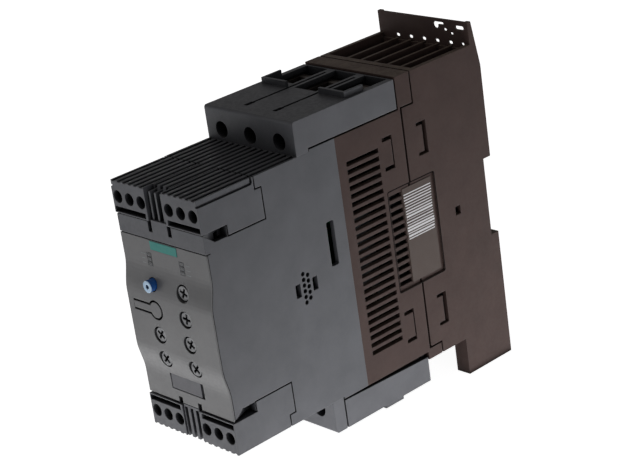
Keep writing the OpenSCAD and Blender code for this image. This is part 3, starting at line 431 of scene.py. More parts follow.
@dataclass(frozen=True)
class DrawnMetal:
    """Plated, rolled or extruded metal with lines along one direction and dull patches."""

    name: str
    colour: str
    direction: Direction
    roughness: float = 0.32
    rough_span: Span = (-0.08, 0.08)
    line: float = 0.12 * MM
    relief: float = 0.006 * MM
    tarnish: float = 0.25
    tarnish_size: float = 4 * MM
    tarnish_rough: Span = (0.0, 0.1)
    edge: float = 0.15 * MM
    edge_gain: float = 1.25

    def material(self) -> bpy.types.Material:
        """Builds the material.

        Returns:
            The material.
        """
        sheet = ShaderSheet(self.name)
        base = tint(self.colour)
        normal, edge = sheet.rounded(self.edge)
        lines = sheet.noise(self.line, detail=3, stretch=self.direction.value)
        patches = sheet.patches(self.tarnish_size, detail=4)
        colour = sheet.blend(patches, scaled(base, 1 - self.tarnish), base)
        drawn_rough = sheet.span(lines, around(self.roughness, self.rough_span))
        return sheet.finish({
            "Base Color": sheet.blend(edge, colour, scaled(base, self.edge_gain)),
            "Roughness": sheet.calculate("ADD", drawn_rough, sheet.span(patches, self.tarnish_rough)),
            "Metallic": 1.0,
            "Normal": sheet.bump(lines, self.relief, normal),
        })


@dataclass(frozen=True)
class CircuitBoard:
    """Green board with copper tracks under the lacquer and bare pads."""

    name: str
    lacquer: str = "1d5a3a"
    track: str = "2f7a4d"
    pad: str = "b9a36a"
    pitch: float = 2.54 * MM
    track_share: float = 0.12
    track_height: float = 0.03 * MM
    pad_share: float = 0.16
    pad_scatter: float = 0.3
    roughness: Span = (0.28, 0.42)
    rough_size: float = 2 * MM

    def material(self) -> bpy.types.Material:
        """Builds the material.

        Returns:
            The material.
        """
        sheet = ShaderSheet(self.name)
        cells = {"Vector": sheet.place, "Scale": 1 / self.pitch}
        tracks = sheet.add("ShaderNodeTexVoronoi", cells, feature="DISTANCE_TO_EDGE")
        dots = sheet.add("ShaderNodeTexVoronoi", {**cells, "Randomness": self.pad_scatter})
        on_track = sheet.calculate("LESS_THAN", tracks.outputs["Distance"], self.track_share)
        on_pad = sheet.calculate("LESS_THAN", dots.outputs["Distance"], self.pad_share)
        green = sheet.blend(on_track, tint(self.lacquer), tint(self.track))
        return sheet.finish({
            "Base Color": sheet.blend(on_pad, green, tint(self.pad)),
            "Roughness": sheet.patches(self.rough_size, detail=3, target=self.roughness),
            "Normal": sheet.bump(on_track, self.track_height),
        })


@dataclass(frozen=True)
class PrintedFilm:
    """Thin printed or plain film with a soft sheen, slight waviness and dust."""

    name: str
    colour: str
    roughness: float = 0.35
    rough_span: Span = (-0.06, 0.08)
    rough_size: float = 2.5 * MM
    dust: float = 0.03
    dust_tone: Colour = (0.6, 0.6, 0.6)
    speck_size: float = 0.5 * MM
    wave: float = 0.01 * MM
    wave_size: float = 3 * MM
    specular: float = 0.2

    def material(self) -> bpy.types.Material:
        """Builds the material.

        Returns:
            The material.
        """
        sheet = ShaderSheet(self.name)
        base = tint(self.colour)
        dusty = moved(base, self.dust_tone, self.dust)
        return sheet.finish({
            "Base Color": sheet.blend(sheet.patches(self.speck_size, detail=5), base, dusty),
            "Roughness": sheet.patches(self.rough_size, detail=3, target=around(self.roughness, self.rough_span)),
            "Normal": sheet.bump(sheet.noise(self.wave_size, detail=2), self.wave),
            "Specular IOR Level": self.specular,
        })


Finish = MouldedPlastic | GlossPlastic | DrawnMetal | CircuitBoard | PrintedFilm


class Finishes:
    """Every finish of the starter, built once and handed out by name."""

    GREY = MouldedPlastic("anthracite_moulding", "56575c", roughness=0.46)
    # Painted shade with a long reach: faces near other walls, such as the front above the ribbed deck, turn darker.
    UPPER_COVER = MouldedPlastic(
        "upper_cover_moulding", "5c5d62", roughness=0.46, pocket_shade_reach=24 * MM, pocket_shade_start=0.95
    )
    LOWER_COVER = MouldedPlastic("lower_cover_moulding", "5d5e63", roughness=0.46)
    PANEL = MouldedPlastic("operator_panel_moulding", "5c5c5e", roughness=0.34, relief=0.008 * MM, specular=0.3)
    # The pale patches on the brown's upward faces are mostly painted top light, a little dust.
    BROWN = MouldedPlastic(
        "dark_brown_moulding", "483a37", roughness=0.52, edge_shine=0.16, specular=0.1,
        pocket_shade_reach=4 * MM, dust=0.32,
    )
    BLACK = MouldedPlastic("black_moulding", "1d1e20", roughness=0.5, edge_shine=0.1)
    DIAL = MouldedPlastic("dial_moulding", "848588", roughness=0.4, grain=0.2 * MM, edge_shine=0.4)
    # Painted highlight: a pale ring round the button's edges and a pale front face.
    BLUE = GlossPlastic(
        "blue_button_moulding", "1f5fb0", edge=0.6 * MM, edge_highlight_colour="c4e8ff", edge_highlight_share=0.9, front_highlight_share=0.75
    )
    TRIMMER = GlossPlastic("trimmer_case", "27497e", coat=0.0)
    SMOKED = GlossPlastic("smoked_light_guide", "1b1d20", roughness=0.3, coat=0.0)
    TEAL = PrintedFilm("teal_name_plate", "28827b", roughness=0.4)
    INSERT = PrintedFilm("blank_label_insert", "505056", roughness=0.4)
    FILM = PrintedFilm("data_label_film", "43352f", roughness=0.4, dust=0.005)
    PRINT = PrintedFilm("pale_print", "dedee0", roughness=0.5)
    MARK = PrintedFilm("panel_print", "777a7d", roughness=0.5)
    FRAME = PrintedFilm("dark_panel_print", "222427", roughness=0.5)
    # Painted shade: a dark strip that stands for the groove round the label recess.
    GROOVE_SHADE = PrintedFilm("painted_groove_shade", "0b0808", roughness=0.6, dust=0.005, specular=0.02)
    ZINC = DrawnMetal("zinc_plated_steel", "9a9ca0", Direction.Y)
    BRASS = DrawnMetal("brass_strip", "a58c55", Direction.Z)
    # Darker than the bright plating would be, as painted shade of the terminal wells.
    SHADED_CLAMP = DrawnMetal("shaded_plated_clamp_strip", "4a4340", Direction.Z, roughness=0.45)
    # Tin-grey, and darker than bare tinned copper, as painted shade inside the housing.
    SHADED_COPPER = DrawnMetal("shaded_tinned_copper_bar", "7c7570", Direction.Z, roughness=0.4)
    ALUMINIUM = DrawnMetal("extruded_aluminium", "505255", Direction.Z, roughness=0.5)
    BOARD = CircuitBoard("circuit_board")

    def __init__(self) -> None:
        """Starts with no material built."""
        self._built: dict[str, bpy.types.Material] = {}

    def get(self, finish: Finish) -> bpy.types.Material:
        """Gives a finish's material.

        Args:
            finish: The finish.

        Returns:
            Its material, built at the first use.
        """
        if finish.name not in self._built:
            self._built[finish.name] = finish.material()
        return self._built[finish.name]


def dress(nodes: Iterable[str], finish: Finish, finishes: Finishes) -> None:
    """Puts one finish on CAD nodes.

    Args:
        nodes: Names of the nodes.
        finish: The finish that they get.
        finishes: Where built materials are kept.
    """
    material = finishes.get(finish)
    for name in nodes:
        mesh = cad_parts[name].data
        mesh.materials.clear()
        mesh.materials.append(material)
        LOG.info("dressed %s with %s", name, finish.name)


class PatternTree(NodeSheet):
    """A Geometry Nodes tree with named inputs, made into a plain mesh on the points of a seed mesh."""

    def __init__(self, name: str) -> None:
        """Starts a tree that takes and gives geometry.

        Args:
            name: Name of the tree.
        """
        super().__init__(bpy.data.node_groups.new(name, "GeometryNodeTree"))
        for side in ("INPUT", "OUTPUT"):
            self.tree.interface.new_socket("Geometry", in_out=side, socket_type="NodeSocketGeometry")
        self.entry = self.add("NodeGroupInput")
        self.exit = self.add("NodeGroupOutput")
        self.values: dict[str, float | int] = {}

    def size(self, name: str, value: float | int) -> bpy.types.NodeSocket:
        """Adds a named input.

        Args:
            name: Name of the input.
            value: What the modifier sets it to; a whole number makes a whole-number input.

        Returns:
            The socket that carries the value inside the tree.
        """
        kind = "NodeSocketInt" if isinstance(value, int) else "NodeSocketFloat"
        socket = self.tree.interface.new_socket(name, in_out="INPUT", socket_type=kind)
        self.values[socket.identifier] = value
        return self.entry.outputs[name]

    def vector(self, x: Any = 0.0, y: Any = 0.0, z: Any = 0.0) -> bpy.types.NodeSocket:
        """Combines three values into a vector."""
        return self.add("ShaderNodeCombineXYZ", {"X": x, "Y": y, "Z": z}).outputs[0]

    def stretch(self, least: Place, most: Place, seed: bpy.types.NodeSocket) -> bpy.types.NodeSocket:
        """Gives a random scale for every point."""
        values = {"Min": least, "Max": most, "Seed": seed}
        return self.add("FunctionNodeRandomValue", values, data_type="FLOAT_VECTOR").outputs[0]

    def ribbon(self, path: bpy.types.Node, width: bpy.types.NodeSocket, height: float) -> bpy.types.Node:
        """Sweeps a flat rectangle along a curve."""
        profile = self.add("GeometryNodeCurvePrimitiveQuadrilateral", {"Width": width, "Height": height})
        return self.add("GeometryNodeCurveToMesh", {"Curve": path.outputs[0], "Profile Curve": profile.outputs[0]})

    def upright(self, flat: bpy.types.Node) -> bpy.types.Node:
        """Turns a flat pattern so that it faces the front."""
        return self.add("GeometryNodeTransform", {"Geometry": flat.outputs[0], "Rotation": (QUARTER_TURN, 0.0, 0.0)})

    def spread(self, shape: bpy.types.Node, values: dict[str, Any] | None = None) -> bpy.types.NodeSocket:
        """Puts copies of a shape on points and makes them real.

        Args:
            shape: Node that gives the shape.
            values: Points other than the seeds, a rotation or a scale.

        Returns:
            The copies.
        """
        base = {"Points": self.entry.outputs[0], "Instance": shape.outputs[0]}
        copies = self.add("GeometryNodeInstanceOnPoints", {**base, **(values or {})})
        return self.add("GeometryNodeRealizeInstances", {"Geometry": copies.outputs[0]}).outputs[0]

    def close(self, geometry: bpy.types.NodeSocket, material: bpy.types.Material) -> None:
        """Ends the tree with a material and joins it to the output."""
        dressed = self.add("GeometryNodeSetMaterial", {"Geometry": geometry, "Material": material})
        self.feed(self.exit.inputs[0], dressed.outputs[0])

    def make(self, name: str, seeds: Sequence[Vector]) -> bpy.types.Object:
        """Runs the tree on a seed mesh and keeps the result as a plain mesh.

        Args:
            name: Name of the finished piece.
            seeds: Points on which the pattern repeats.

        Returns:
            The finished piece, at the origin.
        """
        seed_mesh = bpy.data.meshes.new(f"{name}_seed")
        seed_mesh.from_pydata([tuple(s) for s in seeds], [], [])
        carrier = bpy.data.objects.new(f"{name}_seed", seed_mesh)
        bpy.context.scene.collection.objects.link(carrier)
        modifier = carrier.modifiers.new(self.tree.name, "NODES")
        modifier.node_group = self.tree
        for identifier, value in self.values.items():
            modifier[identifier] = value
        evaluated = carrier.evaluated_get(bpy.context.evaluated_depsgraph_get())
        mesh = bpy.data.meshes.new_from_object(evaluated)
        mesh.name = name
        piece = bpy.data.objects.new(name, mesh)
        bpy.context.scene.collection.objects.link(piece)
        carrier.modifiers.remove(modifier)
        bpy.data.objects.remove(carrier)
        LOG.info("made %s: %d faces", name, len(mesh.polygons))
        return piece


@dataclass
class OperatorPanel:
    """The S-curved front panel with its dials, button, tongue, windows and printed scales."""

    flat: float = 165.7 * MM
    bulge: float = 2.15 * MM
    bulge_top: float = 21.6 * MM
    bulge_low: float = -30.4 * MM
    bulge_run: float = 14.0 * MM
    tick_ring: float = 4.75 * MM
    tick_length: float = 0.6 * MM
    tick_width: float = 0.2 * MM
    tick_count: int = 11
    sweep: float = math.radians(270)
    arc_steps: int = 64
    print_height: float = 0.03 * MM
    line_length: float = 2.6 * MM
    line_width: float = 0.35 * MM
    line_gap: float = 2.7 * MM
    line_least: Place = (0.6, 1.0, 1.0)
    line_most: Place = (1.1, 1.0, 1.0)
    line_seed: int = 7
    window_step: float = 0.41
    frame_width: float = 2.7 * MM
    frame_height: float = 1.75 * MM
    frame_line: float = 0.5 * MM
    dials: tuple[str, ...] = numbered("setting_dial", 6)
    guides: tuple[str, str] = ("light_guide_left", "light_guide_right")

    def drape(self, tree: PatternTree, geometry: bpy.types.NodeSocket) -> bpy.types.NodeSocket:
        """Lays flat print, drawn at depth 0, on the panel's curved face.

        Args:
            tree: Tree that the nodes go into.
            geometry: The flat print.

        Returns:
            The print on the panel.
        """
        position = tree.add("GeometryNodeInputPosition").outputs[0]
        height = tree.add("ShaderNodeSeparateXYZ", {0: position}).outputs["Z"]
        rises = []
        for start, end in ((self.bulge_top, self.bulge_top - self.bulge_run),
                           (self.bulge_low, self.bulge_low + self.bulge_run)):
            run = {"Value": height, "From Min": start, "From Max": end}
            rises.append(tree.add("ShaderNodeMapRange", run, interpolation_type="SMOOTHSTEP").outputs[0])
        swell = tree.add("ShaderNodeMath", {0: rises[0], 1: rises[1]}, operation="MULTIPLY").outputs[0]
        depth = tree.add("ShaderNodeMath", {0: swell, 1: -self.bulge, 2: -self.flat}, operation="MULTIPLY_ADD")
        offset = tree.vector(y=depth.outputs[0])
        return tree.add("GeometryNodeSetPosition", {"Geometry": geometry, "Offset": offset}).outputs[0]

    def dial_scales(self, finishes: Finishes) -> bpy.types.Object:
        """Prints a ring of ticks round every dial.

        Args:
            finishes: Where built materials are kept.

        Returns:
            The print.
        """
        tree = PatternTree("dial_scale")
        radius = tree.size("Ring radius", self.tick_ring)
        length = tree.size("Tick length", self.tick_length)
        width = tree.size("Tick width", self.tick_width)
        count = tree.size("Tick count", self.tick_count)
        start = QUARTER_TURN - self.sweep / 2
        arc = tree.add(
            "GeometryNodeCurveArc",
            {"Radius": radius, "Start Angle": start, "Sweep Angle": self.sweep, "Resolution": self.arc_steps},
        )
        points = tree.add("GeometryNodeCurveToPoints", {"Curve": arc.outputs[0], "Count": count}, mode="COUNT")
        tick = tree.add("GeometryNodeMeshCube", {"Size": tree.vector(length, self.print_height, width)})
        ring = tree.add(
            "GeometryNodeInstanceOnPoints",
            {"Points": points.outputs[0], "Instance": tick.outputs[0], "Rotation": points.outputs["Rotation"]},
        )
        rings = tree.spread(tree.upright(ring))
        tree.close(self.drape(tree, rings), finishes.get(Finishes.MARK))
        seeds = []
        for name in self.dials:
            low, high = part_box(name)
            seeds.append(Vector(((low.x + high.x) / 2, 0, (low.z + high.z) / 2)))
        return tree.make("dial_scales", seeds)

    def status_lines(self, finishes: Finishes) -> bpy.types.Object:
        """Prints a short line beside every status window.

        Args:
            finishes: Where built materials are kept.

        Returns:
            The print.
        """
        tree = PatternTree("status_line")
        length = tree.size("Line length", self.line_length)
        width = tree.size("Line width", self.line_width)
        seed = tree.size("Seed", self.line_seed)
        line = tree.add("GeometryNodeMeshCube", {"Size": tree.vector(length, self.print_height, width)})
        lines = tree.spread(line, {"Scale": tree.stretch(self.line_least, self.line_most, seed)})
        tree.close(self.drape(tree, lines), finishes.get(Finishes.MARK))
        return tree.make("status_lines", self.window_places(self.line_gap))

    def window_places(self, shift: float) -> list[Vector]:
        """Gives a point for every status window.

        Args:
            shift: How far outside the window's outer edge the point lies, or 0 for the window's middle.

        Returns:
            The points, drawn at depth 0.
        """
        places = []
        for name in self.guides:
            low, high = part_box(name)
            side = 1 if low.x > 0 else -1
            x = (high.x if side > 0 else low.x) + side * shift if shift else (low.x + high.x) / 2
            middle, step = (low.z + high.z) / 2, (high.z - low.z) * self.window_step
            places += [Vector((x, 0, middle + i * step)) for i in (-1, 0, 1)]
        return places

    def window_frames(self, finishes: Finishes) -> bpy.types.Object:
        """Prints a dark frame round every status window.

        Args:
            finishes: Where built materials are kept.

        Returns:
            The print.
        """
        tree = PatternTree("window_frame")
        width = tree.size("Frame width", self.frame_width)
        height = tree.size("Frame height", self.frame_height)
        line = tree.size("Line width", self.frame_line)
        path = tree.add("GeometryNodeCurvePrimitiveQuadrilateral", {"Width": width, "Height": height})
        frames = tree.spread(tree.upright(tree.ribbon(path, line, self.print_height)))
        tree.close(self.drape(tree, frames), finishes.get(Finishes.FRAME))
        return tree.make("window_frames", self.window_places(0.0))

    def build(self, finishes: Finishes) -> None:
        """Dresses the panel's nodes and adds its print.

        Args:
            finishes: Where built materials are kept.
        """
        dress(["front_panel", "mode_tongue"], Finishes.PANEL, finishes)
        dress(self.dials, Finishes.DIAL, finishes)
        dress(["reset_button"], Finishes.BLUE, finishes)
        dress(self.guides, Finishes.SMOKED, finishes)
        dress(["name_plate"], Finishes.TEAL, finishes)
        dress(["label_insert"], Finishes.INSERT, finishes)
        for piece in (self.dial_scales(finishes), self.status_lines(finishes), self.window_frames(finishes)):
            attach(piece, HOUSING)


@dataclass
class ControlFront:
    """The ribbed grey shell with its four plug-in terminals, their screws and wire cages."""

    shells: tuple[str, ...] = (
        "front_housing", "upper_left_terminal", "upper_right_terminal", "lower_left_terminal",
        "lower_right_terminal",
    )

    def build(self, finishes: Finishes) -> None:
        """Dresses shell, terminals, screws and cages.

        Args:
            finishes: Where built materials are kept.
        """
        dress(self.shells, Finishes.GREY, finishes)
        dress(["control_screws"], Finishes.ZINC, finishes)
        dress(["control_clamps"], Finishes.BRASS, finishes)


@dataclass
class PowerTerminals:
    """The two grey power covers with clamps, screws and busbars."""

    clamps: tuple[str, ...] = numbered("power_clamp", 6)
    bars: tuple[str, ...] = ("line_busbar_1", "load_busbar_1", "through_busbar", "line_busbar_3", "load_busbar_3")

    def build(self, finishes: Finishes) -> None:
        """Dresses covers, clamps, screws and bars.

        Args:
            finishes: Where built materials are kept.
        """
        dress(["upper_power_cover"], Finishes.UPPER_COVER, finishes)
        dress(["lower_power_cover"], Finishes.LOWER_COVER, finishes)
        dress(self.clamps, Finishes.SHADED_CLAMP, finishes)
        dress(["power_screws"], Finishes.ZINC, finishes)
        dress(self.bars, Finishes.SHADED_COPPER, finishes)


@dataclass
class BrownHousing:
    """The vented middle frame and the rear housing with its rail mounting and data label."""

    stripe_count: int = 17
    stripe_share: float = 0.5
    stripe_width: float = 0.62 * MM
    stripe_inset: float = 0.5 * MM
    stripe_drop: float = 2.4 * MM
    stripe_least: Place = (1.0, 0.94, 0.4)
    stripe_most: Place = (1.0, 1.0, 1.5)
    stripe_seed: int = 11
    print_height: float = 0.03 * MM
    recess_length: float = 28.2 * MM
    recess_margin: float = 1.5 * MM
    recess_corner: float = 0.8 * MM
    corner_steps: int = 4
    # The strip of painted shade that stands for the groove round the label recess.
    groove_shade_width: float = 0.5 * MM
    groove_shade_proud: float = 0.01 * MM

    def label_stripes(self, finishes: Finishes) -> bpy.types.Object:
        """Prints a field of stripes of changing width on the upper part of the data label.

        Args:
            finishes: Where built materials are kept.

        Returns:
            The print.
        """
        low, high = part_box("data_label")
        tree = PatternTree("label_stripe")
        length = tree.size("Stripe length", high.y - low.y - 2 * self.stripe_inset)
        width = tree.size("Stripe width", self.stripe_width)
        seed = tree.size("Seed", self.stripe_seed)
        stripe = tree.add("GeometryNodeMeshCube", {"Size": tree.vector(self.print_height, length, width)})
        stripes = tree.spread(stripe, {"Scale": tree.stretch(self.stripe_least, self.stripe_most, seed)})
        tree.close(stripes, finishes.get(Finishes.PRINT))
        top = high.z - self.stripe_drop
        field_height = (high.z - low.z) * self.stripe_share
        step = field_height / self.stripe_count
        centre_y = (low.y + high.y) / 2
        seeds = [Vector((high.x, centre_y, top - (i + 0.5) * step)) for i in range(self.stripe_count)]
        return tree.make("label_stripes", seeds)

    def recess_groove_shade(self, finishes: Finishes) -> bpy.types.Object:
        """Lays a dark strip of painted shade round the label recess, on the outside of the housing, standing for the
        groove there.

        Args:
            finishes: Where built materials are kept.

        Returns:
            The strip of painted shade.
        """
        low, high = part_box("data_label")
        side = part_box("rear_housing")[1].x
        tree = PatternTree("recess_groove_shade")
        length = tree.size("Recess length", self.recess_length + self.groove_shade_width)
        height = tree.size("Recess height", high.z - low.z + 2 * self.recess_margin + self.groove_shade_width)
        corner = tree.size("Corner radius", self.recess_corner)
        width = tree.size("Seam width", self.groove_shade_width)
        outline = tree.add("GeometryNodeCurvePrimitiveQuadrilateral", {"Width": height, "Height": length})
        rounding = {"Curve": outline.outputs[0], "Radius": corner, "Count": self.corner_steps}
        ring = tree.ribbon(tree.add("GeometryNodeFilletCurve", rounding, mode="POLY"), width, self.print_height)
        tree.close(tree.spread(ring, {"Rotation": (0.0, QUARTER_TURN, 0.0)}), finishes.get(Finishes.GROOVE_SHADE))
        depth = side + self.groove_shade_proud - self.print_height / 2
        centre_y = high.y + self.recess_margin - self.recess_length / 2
        return tree.make("recess_groove_shade", [Vector((depth, centre_y, (low.z + high.z) / 2))])

    def build(self, finishes: Finishes) -> None:
        """Dresses the mouldings, the rail hook and the label.

        Args:
            finishes: Where built materials are kept.
        """
        dress(["middle_housing", "rear_housing"], Finishes.BROWN, finishes)
        dress(["rail_slider"], Finishes.BLACK, finishes)
        dress(["data_label"], Finishes.FILM, finishes)
        for piece in (self.label_stripes(finishes), self.recess_groove_shade(finishes)):
            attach(piece, HOUSING)


@dataclass(frozen=True)
class CoilSpring:
    """A wound wire spring that stands for its solid."""

    node: str
    joint: str
    travel: float
    turns: float
    along: Place
    wire: float = 0.25 * MM
    slack: float = 0.1 * MM
    wire_sides: int = 10
    turn_steps: int = 28

    def build(self, finishes: Finishes) -> None:
        """Winds the spring from its fixed end and hangs it on the housing.

        Args:
            finishes: Where built materials are kept.
        """
        low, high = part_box(self.node)
        along = Vector(self.along)
        middle, half = (low + high) / 2, (high - low) / 2
        reach = abs(along.dot(half))
        fixed_end = middle - along * reach
        outside = min(half)
        tree = PatternTree(f"{self.node}_winding")
        radius = tree.size("Coil radius", outside - self.wire)
        height = tree.size("Height", 2 * (reach - self.wire))
        turns = tree.size("Turns", self.turns)
        wire = tree.size("Wire radius", self.wire)
        helix = tree.add(
            "GeometryNodeCurveSpiral",
            {
                "Resolution": self.turn_steps, "Rotations": turns, "Start Radius": radius,
                "End Radius": radius, "Height": height,
            },
        )
        section = tree.add("GeometryNodeCurvePrimitiveCircle", {"Resolution": self.wire_sides, "Radius": wire})
        wound = tree.add(
            "GeometryNodeCurveToMesh",
            {"Curve": helix.outputs[0], "Profile Curve": section.outputs[0], "Fill Caps": True},
        )
        turn = along.to_track_quat("Z", "X").to_euler()
        tree.close(tree.spread(wound, {"Rotation": tuple(turn)}), finishes.get(Finishes.ZINC))
        piece = tree.make(f"{self.node}_wound", [fixed_end + along * self.wire])
        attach(piece, HOUSING)
        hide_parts(self.node)
        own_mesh(piece)


@dataclass
class Springs:
    """The springs behind the button and under the rail slider."""

    coils: tuple[CoilSpring, ...] = (
        CoilSpring("rail_spring", "rail_release", travel=3 * MM, turns=9.0, along=(0.0, 0.0, 1.0)),
        CoilSpring("reset_spring", "reset_press", travel=2 * MM, turns=6.0, along=(0.0, -1.0, 0.0)),
    )

    def build(self, finishes: Finishes) -> None:
        """Winds all springs."""
        for coil in self.coils:
            coil.build(finishes)


@dataclass
class PhaseBarrier:
    """The ribbed insulating plate behind the vents, with a cut-out for the bypass relay."""

    thickness: float = 1.0 * MM
    height: float = 109.2 * MM
    rib_count: int = 5
    rib_width: float = 1.2 * MM
    rib_proud: float = 0.4 * MM
    rib_inset: float = 2.0 * MM

    def build(self, finishes: Finishes) -> None:
        """Makes the plate, seated between the power board, the relay and the through busbar.

        Args:
            finishes: Where built materials are kept.
        """
        relay_low, relay_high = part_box("bypass_relay")
        front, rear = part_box("power_board")[1].y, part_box("through_busbar")[0].y
        pitch = (rear - front) / self.rib_count
        ribbed = self.thickness + 2 * self.rib_proud
        tree = PatternTree("phase_barrier")
        thickness = tree.size("Thickness", self.thickness)
        depth = tree.size("Depth", rear - front)
        height = tree.size("Height", self.height)
        count = tree.size("Rib count", self.rib_count)
        plate = tree.add("GeometryNodeMeshCube", {"Size": tree.vector(thickness, depth, height)})
        first_rib = (0.0, -pitch * (self.rib_count - 1) / 2, 0.0)
        row = tree.add(
            "GeometryNodeMeshLine", {"Count": count, "Start Location": first_rib, "Offset": (0.0, pitch, 0.0)}
        )
        rib_size = (ribbed, self.rib_width, self.height - 2 * self.rib_inset)
        rib = tree.add("GeometryNodeMeshCube", {"Size": rib_size})
        union = tree.add("GeometryNodeMeshBoolean", {"Mesh 2": plate.outputs[0]}, operation="UNION")
        tree.feed(union.inputs["Mesh 2"], tree.spread(rib, {"Points": row.outputs[0]}))
        opening_size = (2 * ribbed, 2 * (relay_high.y - front), relay_high.z - relay_low.z)
        opening = tree.add("GeometryNodeMeshCube", {"Size": opening_size})
        placed = tree.add(
            "GeometryNodeTransform",
            {"Geometry": opening.outputs[0], "Translation": (0.0, (front - rear) / 2, 0.0)},
        )
        cut = tree.add(
            "GeometryNodeMeshBoolean", {"Mesh 1": union.outputs[0], "Mesh 2": placed.outputs[0]},
            operation="DIFFERENCE",
        )
        tree.close(tree.spread(cut), finishes.get(Finishes.BLACK))
        piece = tree.make("phase_barrier", [Vector((0, (front + rear) / 2, (relay_low.z + relay_high.z) / 2))])
        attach(piece, HOUSING)


@dataclass
class Electronics:
    """What lies inside: heat sink, switching modules, boards and small parts."""

    boards: tuple[str, ...] = ("control_board", "interface_board", "power_board")
    blocks: tuple[str, ...] = (
        "thyristor_module_1", "thyristor_module_2", "bypass_relay", "current_transformer_1",
        "current_transformer_2", "supply_module", "reset_switch", "mode_switch",
    )
    trimmers: tuple[str, ...] = numbered("trimmer", 6)

    def build(self, finishes: Finishes) -> None:
        """Dresses the inner pieces.

        Args:
            finishes: Where built materials are kept.
        """
        dress(["heat_sink"], Finishes.ALUMINIUM, finishes)
        dress(self.boards, Finishes.BOARD, finishes)
        dress(self.blocks, Finishes.BLACK, finishes)
        dress(self.trimmers, Finishes.TRIMMER, finishes)


@dataclass(frozen=True)
class Softbox:
    """One evenly glowing panel, hung in the room or lying on the floor, that the camera doesn't see."""

    name: str
    place: Place
    aim: Place
    size: tuple[float, float]
    power: float
    tone: Colour = (1.0, 1.0, 1.0)

    def light(self) -> None:
        """Creates the lamp."""
        data = bpy.data.lights.new(self.name, "AREA")
        data.shape = "RECTANGLE"
        data.size, data.size_y = self.size
        data.energy = self.power
        data.color = self.tone
        lamp = bpy.data.objects.new(self.name, data)
        lamp.location = self.place
        lamp.rotation_mode = "QUATERNION"
        lamp.rotation_quaternion = Vector(self.aim).to_track_quat("-Z", "Y")
        lamp.visible_camera = False
        bpy.context.scene.collection.objects.link(lamp)


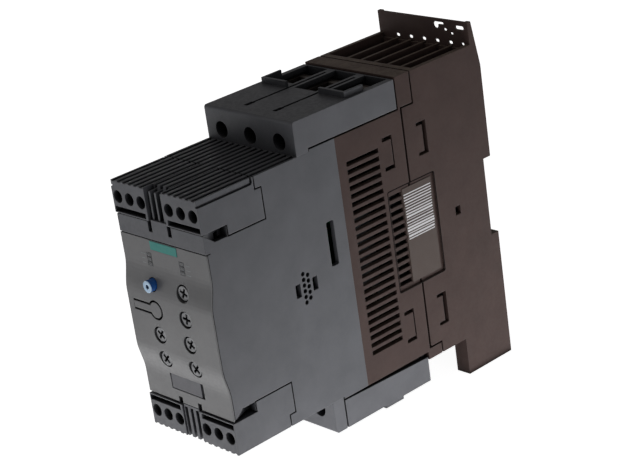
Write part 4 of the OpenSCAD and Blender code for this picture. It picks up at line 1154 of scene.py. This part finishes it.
@dataclass
class Studio:
    """Floor, world, lamps and camera."""

    floor_half: float = 6.0
    floor_colour: Colour = (0.85, 0.85, 0.86)
    floor_glow: float = 0.95
    sky: float = 0.07
    sheen: float = 0.2
    backdrop: float = 1.0
    focal: float = 111.13
    sensor: float = 36.0
    near: float = 0.01
    far: float = 50.0
    eye: Place = (0.585889, -0.584931, 0.309554)
    ahead: Place = (-0.70986, 0.60243, -0.36493)
    right: Place = (0.68076, 0.71977, -0.13601)
    lamps: tuple[Softbox, ...] = (
        Softbox("right_floor_panel", (0.129, 0.06, -0.078), (0, 0, 1), (0.2, 0.42), 0.4),
        Softbox("front_floor_panel", (0.0, -0.265, -0.078), (0, 0, 1), (0.3, 0.31), 0.29),
        Softbox("right_softbox", (1.5, -0.3, 0.0), (-1.5, 0.2, 0.0), (1.4, 1.4), 3.8),
        Softbox("left_panel", (-0.22, -0.3, 0.04), (1.0, 0.7, -0.1), (0.16, 0.3), 0.06),
        Softbox("front_softbox", (0.2, -1.6, 0.1), (-0.2, 1.5, -0.1), (1.2, 1.2), 2.6),
        Softbox("left_softbox", (-1.5, 0.3, 0.02), (1.5, -0.3, 0.0), (1.2, 0.19), 6.5),
        Softbox("back_softbox", (0.0, 1.6, 0.02), (0.0, -1.6, 0.0), (1.2, 0.19), 6.5),
        Softbox("top_softbox", (-0.3, -0.6, 1.6), (0.3, 0.5, -1.6), (1.0, 1.0), 2.0, (1.0, 0.95, 0.86)),
    )

    def background_rays(self, sheet: NodeSheet) -> bpy.types.NodeSocket:
        """Picks out the rays that show the background: camera, glossy and transmission rays.

        Args:
            sheet: Tree that the nodes go into.

        Returns:
            A value that is 1 for these rays and 0 for all others.
        """
        path = sheet.add("ShaderNodeLightPath")
        total: bpy.types.NodeSocket = path.outputs["Is Camera Ray"]
        for name in ("Is Glossy Ray", "Is Transmission Ray"):
            total = sheet.add("ShaderNodeMath", {0: total, 1: path.outputs[name]}, operation="MAXIMUM").outputs[0]
        return total

    def lay_floor(self) -> None:
        """Lays a pale floor under the feet that looks white and keeps a faint shadow."""
        z = CAD_BOX[0].z
        half = self.floor_half
        mesh = bpy.data.meshes.new("floor")
        mesh.from_pydata([(-half, -half, z), (half, -half, z), (half, half, z), (-half, half, z)], [], [(0, 1, 2, 3)])
        floor = bpy.data.objects.new("floor", mesh)
        bpy.context.scene.collection.objects.link(floor)
        material = bpy.data.materials.new("pale_floor")
        material.use_nodes = True
        sheet = NodeSheet(material.node_tree)
        diffuse = sheet.add("ShaderNodeBsdfDiffuse", {"Color": (*self.floor_colour, 1.0)})
        glow = sheet.add("ShaderNodeEmission", {"Strength": self.floor_glow})
        seen = sheet.add("ShaderNodeAddShader", {0: diffuse.outputs[0], 1: glow.outputs[0]})
        choice = sheet.add(
            "ShaderNodeMixShader", {0: self.background_rays(sheet), 1: diffuse.outputs[0], 2: seen.outputs[0]}
        )
        sheet.add("ShaderNodeOutputMaterial", {"Surface": choice.outputs[0]})
        mesh.materials.append(material)

    def hang_sky(self) -> None:
        """Sets a dim even sky, a little brighter in reflections, that the camera sees as white."""
        world = bpy.data.worlds.new("studio")
        bpy.context.scene.world = world
        world.use_nodes = True
        sheet = NodeSheet(world.node_tree)
        path = sheet.add("ShaderNodeLightPath")
        layer = sheet.add("ShaderNodeBackground", {"Color": WHITE, "Strength": self.sky})
        strengths = (
            ("Is Glossy Ray", self.sheen), ("Is Transmission Ray", self.backdrop), ("Is Camera Ray", self.backdrop),
        )
        for ray, strength in strengths:
            shown = sheet.add("ShaderNodeBackground", {"Color": WHITE, "Strength": strength})
            layer = sheet.add("ShaderNodeMixShader", {0: path.outputs[ray], 1: layer.outputs[0], 2: shown.outputs[0]})
        sheet.add("ShaderNodeOutputWorld", {"Surface": layer.outputs[0]})

    def set_camera(self) -> None:
        """Places the camera where the photograph was taken from."""
        data = bpy.data.cameras.new("camera")
        data.lens = self.focal
        data.sensor_width = self.sensor
        data.clip_start = self.near
        data.clip_end = self.far
        ahead = Vector(self.ahead).normalized()
        right = Vector(self.right).normalized()
        up = right.cross(ahead)
        turn = Matrix((right, up, -ahead)).transposed().to_4x4()
        camera = bpy.data.objects.new("camera", data)
        camera.matrix_world = Matrix.Translation(self.eye) @ turn
        bpy.context.scene.collection.objects.link(camera)
        bpy.context.scene.camera = camera

    def build(self) -> None:
        """Sets the whole studio."""
        bpy.context.scene.view_settings.view_transform = "Standard"
        self.lay_floor()
        self.hang_sky()
        for lamp in self.lamps:
            lamp.light()
        self.set_camera()


def main() -> None:
    """Builds and dresses the starter, then the studio."""
    logging.basicConfig(level=logging.INFO)
    finishes = Finishes()
    for part in (
        ControlFront(), OperatorPanel(), PowerTerminals(), BrownHousing(), Springs(), PhaseBarrier(), Electronics(),
    ):
        part.build(finishes)
    Studio().build()


if __name__ == "__main__":
    main()
